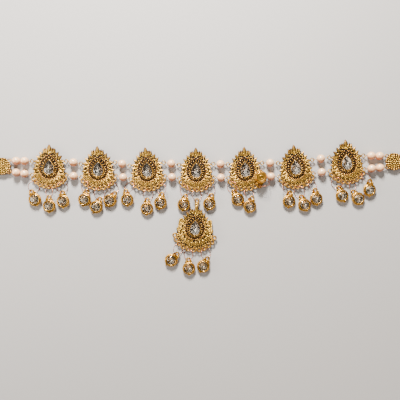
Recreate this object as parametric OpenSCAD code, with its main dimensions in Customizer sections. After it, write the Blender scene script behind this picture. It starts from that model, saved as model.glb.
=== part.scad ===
// Oddiyanam waist belt: pierced pear plaques, pearls and hanging stone drops.
// The belt lies open and straight on a surface: +X along the belt, +Y to the plaque tips, +Z up.
// The origin is under the middle plaque's stone cup, on the surface that the belt lies on.

/* [Stones] */
// Width of a pear-cut stone
stone_w = 10; // [8:0.5:11]
// Length of a pear-cut stone
stone_h = 14; // [12:0.5:15]
// Diameter of a drop's round stone
drop_stone_d = 8.6; // [6:0.2:9]
// Height of a stone's crown above its girdle
crown_h = 1.1; // [0.6:0.1:1.6]
// Depth of a stone's back below its girdle
pavilion_h = 2.6; // [1.5:0.1:2.8]

/* [Plaques] */
// Distance from a plaque's middle line to a lug's hole
lug_x = 16.6; // [15.5:0.1:19]
// Height of a lug's hole above the stone's middle
lug_y = 5.8; // [5:0.1:7]
// Half width of the oval line of the border loops' holes
border_a = 17; // [16:0.1:19]
// Half height of the oval line of the border loops' holes
border_b = 14.4; // [13:0.1:17]
// Drop of that oval's middle below the stone's middle
border_drop = 4.4; // [3.5:0.1:6]
// Turn from one border loop to the next along the oval
border_step = 15.6; // [14.5:0.1:16.4]
// Width of the plaque's upper body
body_w = 28.4; // [26:0.2:31]
// Height of the plaque's upper body
body_h = 33; // [31:0.5:37]
// Height of the plaque's tip above the stone's middle
tip_y = 22.4; // [20:0.1:26]
// Thickness of the cast body
body_t = 1.2; // [0.9:0.1:1.5]
// Thickness of the loops and lugs
loop_t = 0.8; // [0.6:0.05:0.85]
// Height of the raised relief over the body
relief_h = 0.4; // [0.2:0.05:0.6]
// Height of the plates' middle above the surface
plate_mid = 3.5; // [3.45:0.05:3.9]
// Outer radius of a border loop and of a drop's bail
loop_r = 2.55; // [2.3:0.05:2.7]
// Radius of the hole in a border loop and in a bail
loop_hole_r = 1.3; // [1.25:0.05:1.45]
// Outer radius of a lug that a pearl's pin hooks into
lug_r = 2.15; // [2:0.05:2.3]
// Radius of a lug's hole
lug_hole_r = 1.25; // [1.15:0.05:1.4]
// Wall of a stone's cup round the stone
cup_wall = 0.6; // [0.4:0.05:1]
// Number of spoke gaps round a stone's cup
spokes = 24; // [16:2:26]
// Width of a spoke gap
spoke_w = 1; // [0.5:0.05:1.1]
// Length of a spoke gap
spoke_l = 2.7; // [1.5:0.1:2.9]
// How much wider the hanging pendant's lower border is
pendant_grow = 1.15; // [1:0.01:1.2]

/* [Pearls] */
// Diameter of a pearl
pearl_d = 8; // [7.4:0.1:10]
// Radius of the pins' wire
pin_r = 0.27; // [0.2:0.01:0.3]
// Radius of an eye at a pin's end, to the middle of its wire
eye_r = 0.97; // [0.9:0.01:1.05]

/* [Drops] */
// Radius of a jump ring, to the middle of its wire
ring_r = 5.3; // [5:0.05:5.5]
// Radius of a jump ring's wire
ring_wire = 0.28; // [0.2:0.01:0.3]
// Lean of a lying jump ring
ring_lean = 34; // [32.5:0.5:35]
// Distance from a drop's middle to its bail's hole
drop_reach = 8.2; // [8:0.1:9]
// Number of scallops round a drop's cup
scallops = 18; // [12:1:24]
// Distance from the pendant's middle to its bail's hole
pendant_reach = 26.3; // [25:0.1:29]

/* [Flowers and chains] */
// Radius of a flower plaque's body
flower_r = 6.7; // [5.5:0.1:7.2]
// Half distance between the strands at a flower
flower_strand = 5.3; // [5:0.1:6]
// Number of petals of a flower
petals = 10; // [6:1:12]
// Number of links in each chain
chain_links = 26; // [8:1:32]
// Radius of a chain link's wire
link_wire = 0.55; // [0.4:0.05:0.6]
// Radius of a link's round end, to the middle of its wire
link_end = 1.75; // [1.7:0.05:2]
// Straight length of a link's side
link_side = 3.2; // [2.8:0.1:5]
// Inner radius of the ring at the right end
end_ring_r = 4.5; // [4:0.1:7]
// Thickness of the end ring's wall
end_ring_wall = 1.4; // [1:0.1:2]
// Height of the end ring
end_ring_h = 2.4; // [2:0.1:2.8]
// Inner radius of the hook's bend at the left end
hook_r = 3.2; // [2.6:0.1:4]
// Radius of the hook's wire
hook_wire = 1.1; // [0.9:0.05:1.2]
// Length of the hook's straight shank
hook_shank = 7; // [6:0.5:12]

/* [Hidden] */
$fn = 48;
// Gap round a stone in its cup
seat_gap = 0.14;
// Gap between neighbours on one pin
touch_gap = 0.1;
// Play between one chain link and the next
link_gap = 0.25;
// Gap between a pin and a pearl's bore
bore_gap = 0.12;
// How much thinner a pin's straight rod is than the wire of its eyes
rod_step = 0.03;
// Gap under the drop that lies face down on a plaque
stack_gap = 0.3;
// Overlap that joins two parts of one casting
weld = 0.05;
// Pointedness of a pear outline: 0 is an ellipse
pear_point = 0.7;
ring_point = 0.45;
body_point = 0.3;
leaf_point = 0.9;
pear_sides = 36;

// Heights of the castings
plate_low = plate_mid - body_t / 2;
plate_top = plate_mid + body_t / 2;
relief_top = plate_top + relief_h;
girdle_z = plate_mid + 1.2;
cup_top = girdle_z + 0.4;
cup_floor = girdle_z - pavilion_h - 0.3;
girdle_h = 0.3;
pear_cuts = 14;
round_cuts = 12;
stone_top = girdle_z + crown_h;
cup_w = stone_w + 2 * (seat_gap + cup_wall);
cup_h = stone_h + 2 * (seat_gap + cup_wall);
foot_inset = 0.7;
foot_h = 0.6;

// Border loops are counted from -border_last to border_last
border_last = 5;
bead_r = 0.6;
small_hole_r = 0.65;
hole_ring = spoke_l + 1.6;
spoke_gap = 0.5;
spoke_spread = 0.75;
// Shares of the border's oval at which its beads, small holes and scrolls stand
border_bead_share = 0.87;
border_gap_share = 0.8;
scroll_share = 0.78;
// How far inside the small holes the fan of petals reaches
fan_reach = 3.9;
petal_w = 1.9;
petal_l = 2.9;
// Rosettes: their bead and ring, and their places under the crown and on the pendant's shoulders
rosette_r = 1.9;
rosette_wire = 0.45;
rosette_in = 8.6;
shoulder_step = [2.7, 2.8];
// Shares of the tip's height that a leaf's point reaches, with its turn from the tip
LEAVES = [[17, 0.86], [31.5, 0.79], [47.5, 0.75], [63, 0.68], [79, 0.68], [97, 0.74]];
LEAF_TURN = 0;
LEAF_REACH = 1;
leaf_w = 3.4;
leaf_l = 6.6;
leaf_sides = 16;
// How much smaller a leaf's relief is than the leaf under it
leaf_rim = 1.2;
// Crown of three leaves: the middle one, and the side ones with their step, turn and lower reach
crown_w = 4.8;
crown_l = 9;
side_w = 3;
side_l = 7;
side_step = 1.7;
side_turn = 6;
side_low = 3.2;
// Small leaves between the border's holes
scroll_w = 2.4;
scroll_l = 3.6;
// Leaf that joins an upper lug to the body, and its turn from the tip's side
arm_w = 3.8;
arm_l = 9;
arm_turn = 85;
arm_start = 0.7;
// Turn at which the border's oval starts and ends, its steps and its distance inside the loops' rims
oval_turn = 105;
oval_steps = 28;
oval_inset = 0.45;

// Links between plaques
strand_z = pearl_d / 2;
lug_mid = (lug_hole_r + lug_r) / 2;
eye_out = lug_mid + eye_r + pin_r + touch_gap;
eye_rise = strand_z - plate_mid;
eye_run = sqrt(eye_r * eye_r - eye_rise * eye_rise);
one_span = pearl_d + 2 * eye_out;
two_span = 2 * pearl_d + touch_gap + 2 * eye_out;
low_turn = border_last * border_step;
LOW_LUG = [border_a * sin(low_turn), -border_drop - border_b * cos(low_turn)];
TOP_LUG = [lug_x, lug_y];
// The pendant's shoulders take the place of the upper lugs
SHOULDER = [lug_x - 0.5, lug_y + 0.9];
shoulder_r = 2.4;
shoulder_drop = 0.3;

// How each plaque lies: play in the link before it, height along Y, and turn
PLAQUES = [
    [0, 3.1, 0], [0, 1.4, 2.5], [0, 0.4, 5], [0, 0, 1.5], [0, 0.8, 2.5], [1.5, 2.8, 5.5], [1.9, 7.6, 3]
];
PLAY = 0;
LIE_Y = 1;
LIE_TURN = 2;
last = len(PLAQUES) - 1;
middle = last / 2;
// Height along Y of the flowers, and turn of the pendant
left_y = 4;
right_y = 8.5;
pendant_turn = -4;
pendant_swing = 1;
// Height of the pendant's crown, which ends under its bail
crown_y = pendant_reach - loop_r - 2;
// How far the bail's neck runs into the crown, and its width there
neck_in = 4;
neck_w = 3;
// Half width of a bail's neck at its ring, as a share of the ring
neck_share = 0.9;

// How each drop hangs: plaque, border loop, swing of its ring, swing of the drop, side that the ring leans to
PENDANT = last + 1;
DROPS = [
    [0, -3, -26, 22, 1], [0, 0, 0, 0, -1], [0, 3, 3, 3, 1],
    [1, -4, 18, -14, -1], [1, 0, 4, -25, 1], [1, 3, 16, -35, 1],
    [2, -4, -38, 8, -1], [2, 0, -8, -3, 1], [2, 3, 5, -11, -1],
    [3, -3, 8, -11, -1], [3, 3, 11, -15, 1],
    [4, -4, 20, 27, -1], [4, 0, 33, -14, 1],
    [5, -3, 29, -4, 1], [5, 0, 21, 21, -1], [5, 3, 30, 7, 1],
    [6, -3, 23, 23, -1], [6, 1, 4, 38, 1], [6, 4, 41, -2, 1],
    [PENDANT, -3, -11, -46, 1], [PENDANT, -1, 2, 2, -1], [PENDANT, 2, 16, -28, 1]
];
ON = 0;
LOOP = 1;
SWING = 2;
HANG = 3;
SIDE = 4;
// The drop that lies face down on the fifth plaque: border loop, offset of its bail and swing
FLIP_ON = 4;
FLIP_LOOP = 3;
flip_step = [0.4, -2];
flip_hang = 172;

// Cups of the drops
drop_seat_r = drop_stone_d / 2 + seat_gap;
drop_rim_r = drop_seat_r + cup_wall;
drop_wall_r = drop_rim_r + 0.9;
scallop_r = 0.95;
drop_knob_r = 0.8;
drop_r = drop_wall_r + 0.5;
// Height of the step between the cup's wide wall and its rim
drop_step_h = 0.2;
// How far a bail's neck runs into the cup, and its width there
drop_neck_in = 0.7;
drop_neck_w = 0.78 * drop_stone_d;
drop_base_r = drop_seat_r + 0.4;
flip_z = relief_top + stack_gap + stone_top;

// Flowers and chains
flower_petal_r = 1.9;
flower_bead_r = 1;
// Circles of a flower's granules: number, share of the flower's radius, and rise
FLOWER_CIRCLES = [
    [petals, 0.955, 1.5 * relief_h], [12, 0.65, 1.5 * relief_h], [6, 0.33, 2 * relief_h], [1, 0, 3 * relief_h]
];
foot_step = 1.5;
flower_lug_x = sqrt(pow(flower_r + flower_petal_r, 2) - flower_strand * flower_strand);
// The loop that the chain's first link passes through
chain_hole_r = lug_hole_r + 0.45;
chain_loop_r = chain_hole_r + 0.85;
// How far the first link's joint lies inside that loop's rim
chain_slack = 0.4;
flower_loop_x = flower_r + flower_petal_r + chain_hole_r - 0.35;
link_pitch = link_side + 2 * link_end - 2 * link_wire - link_gap;
// Links lean by turns one way and the other, square to each other
link_lean = 60;
chain_z = link_end * sin(link_lean) + link_wire + 0.1;
chain_fall = 0.16;
end_eye_r = 1.7;
end_eye_wire = 0.5;
// Middle of an end's eye past the last link's joint
end_eye_step = end_eye_r - end_eye_wire - link_gap / 2;

function turned(p, a) = [p.x * cos(a) - p.y * sin(a), p.x * sin(a) + p.y * cos(a)];
function down(a) = [sin(a), -cos(a)];
function mirrored(p, side) = [side * p.x, p.y];

// Pear outline: t is 0 at the tip and 180 at the round end
function pear_raw(t, point) = sin(t) * pow(abs(sin(t / 2)), point);
function pear_norm(point) = max([for (t = [60:3:150]) pear_raw(t, point)]);
function pear_at(t, w, h, point, norm) = [w / 2 * pear_raw(t, point) / norm, h / 2 * cos(t)];
function pear_points(w, h, point, sides) =
    let (norm = pear_norm(point))
    [for (k = [0:sides - 1]) pear_at(-360 * (k + 0.5) / sides, w, h, point, norm)];
ring_norm = pear_norm(ring_point);
function round_pear(t) = pear_at(t, cup_w + 2 * spoke_gap, cup_h + 2 * spoke_gap, ring_point, ring_norm);
function spoke_turn(k) = 180 * pow(k / (spokes / 2), spoke_spread);
function outward(t, r) = round_pear(t) + r * [sin(t), cos(t)];

// Places on a plaque and on the belt
function border_hole(k, grow = 1) =
    grow * [border_a * sin(k * border_step), -border_drop - border_b * cos(k * border_step)];
function plaque_turn(i) = i == PENDANT ? pendant_turn : PLAQUES[i][LIE_TURN];
function lug_run(i, lug) =
    turned(lug, PLAQUES[i - 1][LIE_TURN]).x - turned(mirrored(lug, -1), PLAQUES[i][LIE_TURN]).x;
function spacing(i) = one_span + max(lug_run(i, TOP_LUG), lug_run(i, LOW_LUG)) + PLAQUES[i][PLAY];
function plaque_x(i) =
    i == middle ? 0
    : i > middle ? plaque_x(i - 1) + spacing(i)
    : plaque_x(i + 1) - spacing(i + 1);
pendant_bail = turned(border_hole(0), PLAQUES[middle][LIE_TURN]) + 2 * ring_r * down(pendant_swing);
pendant_place = pendant_bail + pendant_reach * down(pendant_turn);
function plaque_place(i) = i == PENDANT ? pendant_place : [plaque_x(i), PLAQUES[i][LIE_Y]];
PLACES = [for (i = [0:PENDANT]) plaque_place(i)];
function on_plaque(i, p) = PLACES[i] + turned(p, plaque_turn(i));
function hang_hole(i, k) = on_plaque(i, border_hole(k, i == PENDANT ? pendant_grow : 1));
function bail_place(d) = hang_hole(d[ON], d[LOOP]) + 2 * ring_r * down(d[SWING]);
function drop_place(d) = bail_place(d) + drop_reach * down(d[HANG]);
flip_hole = hang_hole(FLIP_ON, FLIP_LOOP);
flip_bail = flip_hole + flip_step;
flip_place = flip_bail + drop_reach * down(flip_hang);

// Flowers: side is -1 on the left and 1 on the right
function end_y(side) = side < 0 ? left_y : right_y;
function end_plaque(side) = side < 0 ? 0 : last;
function end_lug(side, lug) = on_plaque(end_plaque(side), mirrored(lug, side));
function end_reach(side) = max(side * end_lug(side, TOP_LUG).x, side * end_lug(side, LOW_LUG).x);
function flower_x(side) = side * (end_reach(side) + two_span + flower_lug_x);
function outer_flower_x(side) = flower_x(side) + side * (two_span + 2 * flower_lug_x);
function flower_lug(x, y, side, row) = [x + side * flower_lug_x, y + row * flower_strand];

// Pins of one strand, row 1 above and -1 below: from, to, number of pearls
function end_pins(side, row, lug) =
    let (inner = flower_x(side), outer = outer_flower_x(side), y = end_y(side)) [
        [end_lug(side, lug), flower_lug(inner, y, -side, row), 2],
        [flower_lug(inner, y, side, row), flower_lug(outer, y, -side, row), 2]
    ];
function strand(row) = let (lug = row > 0 ? TOP_LUG : LOW_LUG) concat(
    end_pins(-1, row, lug),
    [for (i = [1:last]) [on_plaque(i - 1, lug), on_plaque(i, mirrored(lug, -1)), 1]],
    end_pins(1, row, lug)
);

module pear(w, h, point, sides = pear_sides) {
    polygon(pear_points(w, h, point, sides));
}

// A leaf whose point lies on +Y at the given reach
module leaf(w, l, reach) {
    translate([0, reach - l / 2]) pear(w, l, leaf_point, leaf_sides);
}

// The plate's lower edge, and on the pendant its shoulders
module border_line(grow, has_lugs) {
    inset = loop_r - oval_inset;
    oval = [for (k = [0:oval_steps])
        let (t = oval_turn * (2 * k / oval_steps - 1))
        [(grow * border_a - inset) * sin(t), -grow * border_drop - (grow * border_b - inset) * cos(t)]];
    shoulders = has_lugs ? [] : [for (side = [1, -1]) mirrored(SHOULDER, side)];
    polygon(concat(oval, shoulders));
    for (p = shoulders) translate(p - [sign(p.x) * shoulder_r, shoulder_drop]) circle(shoulder_r);
}

// A crown of three leaves, the middle one tallest
module finial(reach) {
    leaf(crown_w, crown_l, reach);
    for (side = [-1, 1])
        translate([side * side_step, 0]) rotate(-side * side_turn) leaf(side_w, side_l, reach - side_low);
}

module leaves(shrink) {
    for (side = [-1, 1], row = LEAVES)
        rotate(-side * row[LEAF_TURN])
            leaf(leaf_w - shrink, leaf_l - shrink, row[LEAF_REACH] * tip_y - shrink / 2);
}

module body_outline(grow, has_lugs) {
    pear(body_w, body_h, body_point);
    border_line(grow, has_lugs);
    leaves(0);
    finial(has_lugs ? tip_y : crown_y);
}

module gaps(grow) {
    for (k = [0.5:1:spokes / 2 - 0.5], side = [-1, 1]) {
        t = spoke_turn(k);
        mirror([side < 0 ? 1 : 0, 0]) translate(round_pear(t)) rotate(-t)
            translate([-spoke_w / 2, 0]) square([spoke_w, spoke_l]);
    }
    for (k = [1:spokes / 2 - 1], side = [-1, 1])
        mirror([side < 0 ? 1 : 0, 0])
            translate(outward(spoke_turn(k), hole_ring)) circle(small_hole_r, $fn = 16);
    for (k = [1 - border_last:border_last - 1])
        translate(border_gap_share * border_hole(k, grow)) circle(small_hole_r, $fn = 16);
}

module loops(grow, has_lugs) {
    for (k = [-border_last:border_last])
        translate(border_hole(k, grow)) circle(has_lugs && abs(k) == border_last ? lug_r : grow * loop_r);
    for (side = [-1, 1])
        if (has_lugs) translate(mirrored(TOP_LUG, side)) {
            circle(lug_r);
            rotate(-side * arm_turn) leaf(arm_w, arm_l, -arm_start);
            translate([-side * lug_r, 0]) square(lug_r, center = true);
        }
}

module loop_holes(grow, has_lugs) {
    for (k = [-border_last:border_last])
        translate(border_hole(k, grow)) circle(abs(k) == border_last ? lug_hole_r : loop_hole_r);
    if (has_lugs)
        for (side = [-1, 1]) translate(mirrored(TOP_LUG, side)) circle(lug_hole_r);
}

// A round bail whose neck runs down to y = foot
module bail_outline(foot, foot_w) {
    neck = neck_share * loop_r;
    difference() {
        union() {
            circle(loop_r);
            polygon([[-neck, 0], [neck, 0], [foot_w / 2, foot], [-foot_w / 2, foot]]);
        }
        circle(loop_hole_r);
    }
}

module stone_cup() {
    translate([0, 0, foot_h]) linear_extrude(cup_top - foot_h) pear(cup_w, cup_h, pear_point);
    linear_extrude(foot_h + weld) pear(cup_w - 2 * foot_inset, cup_h - 2 * foot_inset, pear_point);
}

module stone_seat() {
    translate([0, 0, cup_floor]) linear_extrude(cup_top)
        pear(stone_w + 2 * seat_gap, stone_h + 2 * seat_gap, pear_point);
}

// One granule of cast relief at a place on the plate
module bead(p) {
    translate([p.x, p.y, plate_top - weld]) cylinder(relief_h + weld, bead_r, bead_r / 2, $fn = 16);
}

module beads(grow) {
    for (k = [0.5:1:spokes / 2 - 0.5], side = [-1, 1])
        bead(mirrored(outward(spoke_turn(k), spoke_l + bead_r), side));
    for (k = [0.5 - border_last:border_last - 0.5]) bead(border_bead_share * border_hole(k, grow));
}

// A ring with a round heart, seen from above
module rosette() {
    circle(rosette_r / 2);
    difference() {
        circle(rosette_r);
        circle(rosette_r - rosette_wire);
    }
}

module relief(grow, has_lugs) {
    top_y = has_lugs ? tip_y : crown_y;
    translate([0, 0, plate_top - weld]) linear_extrude(relief_h + weld) difference() {
        union() {
            leaves(leaf_rim);
            leaf(crown_w - leaf_rim, crown_l - 2 * leaf_rim, top_y - leaf_rim);
            for (k = [0.5 - border_last:border_last - 0.5])
                translate(scroll_share * border_hole(k, grow)) rotate(k * border_step)
                    leaf(scroll_w, scroll_l, scroll_w);
            for (k = [1 - border_last:border_last - 1])
                translate(border_gap_share * border_hole(k, grow)) rotate(k * border_step)
                    leaf(petal_w, petal_l, fan_reach);
            translate([0, top_y - rosette_in]) rosette();
            if (!has_lugs)
                for (side = [-1, 1]) translate(mirrored(SHOULDER - shoulder_step, side)) rosette();
        }
        gaps(grow);
    }
}

module plaque(grow = 1, has_lugs = true) {
    difference() {
        union() {
            translate([0, 0, plate_low]) linear_extrude(body_t) difference() {
                body_outline(grow, has_lugs);
                gaps(grow);
                loop_holes(grow, has_lugs);
            }
            translate([0, 0, plate_mid - loop_t / 2]) linear_extrude(loop_t) difference() {
                union() {
                    loops(grow, has_lugs);
                    if (!has_lugs)
                        translate([0, pendant_reach]) bail_outline(crown_y - neck_in - pendant_reach, neck_w);
                }
                loop_holes(grow, has_lugs);
                gaps(grow);
            }
            relief(grow, has_lugs);
            beads(grow);
            stone_cup();
        }
        stone_seat();
    }
}

module place_plaque(i) {
    translate(PLACES[i]) rotate(plaque_turn(i)) children();
}

module plaque_of(i) {
    color("goldenrod") place_plaque(i) plaque(i == PENDANT ? pendant_grow : 1, i != PENDANT);
}

// A cut stone from rings of points: back, girdle, crown and table
module cut_stone(rings) {
    n = len(rings[0]);
    points = [for (ring = rings, p = ring) p];
    sides = [for (r = [0:len(rings) - 2], k = [0:n - 1])
        [r * n + k, r * n + (k + 1) % n, (r + 1) * n + (k + 1) % n, (r + 1) * n + k]];
    caps = [[for (k = [n - 1:-1:0]) k], [for (k = [0:n - 1]) (len(rings) - 1) * n + k]];
    polyhedron(points, concat(
        [for (f = sides) each [[f[2], f[1], f[0]], [f[3], f[2], f[0]]]],
        [for (c = caps) [for (k = [n - 1:-1:0]) c[k]]]
    ));
}

// Shares of a stone's outline and the height of each ring
function stone_rings() = [
    [0.18, girdle_z - pavilion_h], [0.72, girdle_z - 0.42 * pavilion_h], [1, girdle_z - girdle_h],
    [1, girdle_z], [0.8, girdle_z + 0.6 * crown_h], [0.56, stone_top]
];

function pear_ring(share, z) =
    [for (p = pear_points(stone_w * share, stone_h * share, pear_point, pear_cuts)) [p.x, p.y, z]];
function round_ring(share, z) =
    let (r = drop_stone_d / 2 * share)
    [for (k = [0:round_cuts - 1]) [r * cos(-360 * k / round_cuts), r * sin(-360 * k / round_cuts), z]];

module pear_stone_of(i) {
    color("gainsboro") place_plaque(i) cut_stone([for (ring = stone_rings()) pear_ring(ring[0], ring[1])]);
}

module round_stone() {
    cut_stone([for (ring = stone_rings()) round_ring(ring[0], ring[1])]);
}

// A drop's cup, with its middle on the Z axis and its bail's hole on +Y
module drop_cup() {
    rotate_extrude() polygon([
        [0, 0], [drop_base_r, 0],
        [drop_wall_r, plate_mid - loop_t / 2 + weld], [drop_wall_r, plate_top],
        [drop_rim_r, plate_top + drop_step_h], [drop_rim_r, cup_top],
        [drop_seat_r, cup_top], [drop_seat_r, cup_floor], [0, cup_floor]
    ]);
    translate([0, 0, plate_mid - loop_t / 2]) linear_extrude(loop_t) difference() {
        union() {
            circle(drop_wall_r);
            for (k = [0:scallops - 1])
                rotate((k + 0.5) * 360 / scallops)
                    translate([0, drop_r - scallop_r]) circle(scallop_r, $fn = 20);
            translate([0, drop_reach]) bail_outline(drop_wall_r - drop_neck_in - drop_reach, drop_neck_w);
            translate([0, -drop_r]) circle(drop_knob_r, $fn = 20);
        }
        circle(drop_seat_r + cup_wall / 2);
    }
}

module place_drop(d) {
    translate(drop_place(d)) rotate(d[HANG]) children();
}

module place_flipped() {
    translate([flip_place.x, flip_place.y, flip_z]) rotate(flip_hang) rotate([0, 180, 0]) children();
}

module drop_cup_of(n) {
    color("gold")
        if (n < len(DROPS)) place_drop(DROPS[n]) drop_cup();
        else place_flipped() drop_cup();
}

module drop_stones() {
    color("bisque") {
        for (d = DROPS) place_drop(d) round_stone();
        place_flipped() round_stone();
    }
}

module jump_ring() {
    rotate_extrude() translate([ring_r, 0]) circle(ring_wire, $fn = 20);
}

// A ring whose edge passes through the hole at the origin and hangs towards -Y
module lying_ring(side) {
    translate([0, -ring_r, plate_mid]) rotate([0, side * ring_lean, 0]) jump_ring();
}

// A ring through two points, with its middle towards the given level direction
module ring_through(a, b, level) {
    along = (b - a) / norm(b - a);
    middle_point = (a + b) / 2 + sqrt(ring_r * ring_r - pow(norm(b - a) / 2, 2)) * level;
    up = cross(level, along);
    multmatrix([
        [level.x, along.x, up.x, middle_point.x],
        [level.y, along.y, up.y, middle_point.y],
        [level.z, along.z, up.z, middle_point.z],
        [0, 0, 0, 1]
    ]) jump_ring();
}

module jump_rings() {
    step = flip_step / norm(flip_step);
    color("tan") {
        for (d = DROPS) translate(hang_hole(d[ON], d[LOOP])) rotate(d[SWING]) lying_ring(d[SIDE]);
        translate(hang_hole(middle, 0)) rotate(pendant_swing) lying_ring(1);
        ring_through(
            [flip_hole.x, flip_hole.y, plate_mid],
            [flip_bail.x, flip_bail.y, flip_z - plate_mid],
            [-step.y, step.x, 0]
        );
    }
}

module on_pin(pin) {
    run = pin[1] - pin[0];
    translate(pin[0]) rotate(atan2(run.y, run.x)) children();
}

module pearls(row) {
    color("seashell")
        for (pin = strand(row)) {
            length = norm(pin[1] - pin[0]);
            on_pin(pin)
                for (k = [0:pin[2] - 1])
                    translate([length / 2 + (k - (pin[2] - 1) / 2) * (pearl_d + touch_gap), 0, strand_z])
                        rotate([0, 90, 0]) difference() {
                            sphere(d = pearl_d);
                            cylinder(pearl_d + 2, r = pin_r + bore_gap, center = true, $fn = 20);
                        }
        }
}

module pins(row) {
    color("gold")
        for (pin = strand(row)) {
            length = norm(pin[1] - pin[0]);
            on_pin(pin) {
                for (x = [lug_mid, length - lug_mid])
                    translate([x, 0, plate_mid]) rotate([90, 0, 0])
                        rotate_extrude($fn = 32) translate([eye_r, 0]) circle(pin_r, $fn = 20);
                translate([lug_mid + eye_run, 0, strand_z]) rotate([0, 90, 0])
                    cylinder(length - 2 * (lug_mid + eye_run), r = pin_r - rod_step, $fn = 20);
            }
        }
}

// The flower's outline, and the loops that its pins and chain hook into
module flower_holes(lug_sides, outer_side) {
    for (side = lug_sides, row = [-1, 1])
        translate([side * flower_lug_x, row * flower_strand]) circle(lug_hole_r);
    if (outer_side != 0) translate([outer_side * flower_loop_x, 0]) circle(chain_hole_r);
}

module flower_loops(lug_sides, outer_side) {
    for (side = lug_sides, row = [-1, 1])
        translate([side * flower_lug_x, row * flower_strand]) circle(lug_r);
    if (outer_side != 0) translate([outer_side * flower_loop_x, 0]) circle(chain_loop_r);
}

// A circle of domed granules of a flower
module flower_beads(count, r, h) {
    for (k = [0:count - 1])
        rotate(k * 360 / count) translate([r, 0, plate_top - weld])
            cylinder(h, flower_bead_r, flower_bead_r / 2, $fn = 20);
}

module flower(x, y, outer_side) {
    lug_sides = outer_side == 0 ? [-1, 1] : [-outer_side];
    color("goldenrod") translate([x, y]) {
        cylinder(plate_low + weld, r = flower_r - foot_step);
        translate([0, 0, plate_low]) linear_extrude(body_t) difference() {
            union() {
                circle(flower_r);
                for (k = [0:petals - 1])
                    rotate(k * 360 / petals) translate([flower_r, 0]) circle(flower_petal_r);
            }
            flower_holes(lug_sides, outer_side);
        }
        translate([0, 0, plate_mid - loop_t / 2]) linear_extrude(loop_t) difference() {
            flower_loops(lug_sides, outer_side);
            flower_holes(lug_sides, outer_side);
        }
        for (row = FLOWER_CIRCLES) flower_beads(row[0], row[1] * flower_r, row[2]);
    }
}

// One oval link along X, with its middle at the origin
module link() {
    for (side = [0, 1])
        rotate(side * 180) translate([link_side / 2, 0]) rotate(-90)
            rotate_extrude(angle = 180, $fn = 32) translate([link_end, 0]) circle(link_wire, $fn = 20);
    for (y = [-link_end, link_end])
        translate([0, y]) rotate([0, 90, 0]) cylinder(link_side, r = link_wire, center = true, $fn = 20);
}

// Height of the chain's middle line at a distance from its flower's loop
function chain_height(s) = max(chain_z, plate_mid - chain_fall * s);
chain_start = flower_loop_x + chain_hole_r - chain_slack;
function chain_joint(side, n) =
    let (s = n * link_pitch)
    [outer_flower_x(side) + side * (chain_start + s), end_y(side), chain_height(s)];
function lean_of(n) = n % 2 == 0 ? link_lean : link_lean - 90;

module chain(side) {
    color("gold")
        for (n = [0:chain_links - 1]) {
            from = chain_joint(side, n);
            to = chain_joint(side, n + 1);
            translate((from + to) / 2) rotate([0, -side * atan2(to.z - from.z, link_pitch), 0])
                rotate([lean_of(n), 0, 0]) link();
        }
}

// An eye square to the last link that hangs in it
module end_eye() {
    translate([0, 0, chain_z]) rotate([lean_of(chain_links), 0, 0])
        rotate_extrude($fn = 32) translate([end_eye_r, 0]) circle(end_eye_wire, $fn = 20);
}

// The ring lies flat; its eye takes the chain and leaves the ring's middle free
module end_ring() {
    joint = chain_joint(1, chain_links);
    middle_x = end_eye_step + end_eye_r + end_ring_r + end_ring_wall;
    color("gold") translate([joint.x, joint.y, 0]) {
        translate([end_eye_step, 0]) end_eye();
        translate([middle_x, 0]) difference() {
            cylinder(end_ring_h, r = end_ring_r + end_ring_wall);
            translate([0, 0, -1]) cylinder(end_ring_h + 2, r = end_ring_r);
        }
    }
}

// A plain hook of round wire lying flat, open towards the belt
module end_hook() {
    joint = chain_joint(-1, chain_links);
    bend = hook_r + hook_wire;
    shank_x = -end_eye_step - end_eye_r - hook_shank;
    color("gold") translate([joint.x, joint.y, 0]) {
        translate([-end_eye_step, 0]) end_eye();
        translate([shank_x, 0, hook_wire]) rotate([0, 90, 0]) cylinder(hook_shank, r = hook_wire);
        translate([shank_x, bend, hook_wire]) rotate(90)
            rotate_extrude(angle = 180) translate([bend, 0]) circle(hook_wire);
        translate([shank_x, 2 * bend, hook_wire]) rotate([0, 90, 0]) cylinder(hook_shank / 2, r = hook_wire);
    }
}

for (i = [0:last]) plaque_of(i);
plaque_of(PENDANT);  // pendant_plaque
for (i = [0:last]) pear_stone_of(i);
pear_stone_of(PENDANT);  // pendant_stone
for (n = [0:len(DROPS)]) drop_cup_of(n);
drop_stones();
jump_rings();
pearls(1);  // upper_pearls
pearls(-1);  // lower_pearls
pins(1);  // upper_pins
pins(-1);  // lower_pins
flower(flower_x(-1), end_y(-1), 0);  // flower_left
flower(flower_x(1), end_y(1), 0);  // flower_right
flower(outer_flower_x(-1), end_y(-1), -1);  // outer_flower_left
flower(outer_flower_x(1), end_y(1), 1);  // outer_flower_right
chain(-1);  // chain_left
chain(1);  // chain_right
end_hook();
end_ring();
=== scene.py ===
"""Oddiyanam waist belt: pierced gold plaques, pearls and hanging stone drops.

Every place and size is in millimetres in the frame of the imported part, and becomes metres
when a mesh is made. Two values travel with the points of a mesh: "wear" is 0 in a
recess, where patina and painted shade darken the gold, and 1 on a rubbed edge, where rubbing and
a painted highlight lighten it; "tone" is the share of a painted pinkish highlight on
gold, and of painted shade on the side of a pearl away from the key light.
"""

import logging
from collections.abc import Iterable, Sequence
from dataclasses import dataclass, field
from enum import Enum
from math import atan2, cos, degrees, pi, radians, sin, sqrt

import bpy
from mathutils import Matrix, Vector
from mathutils.geometry import delaunay_2d_cdt


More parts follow.
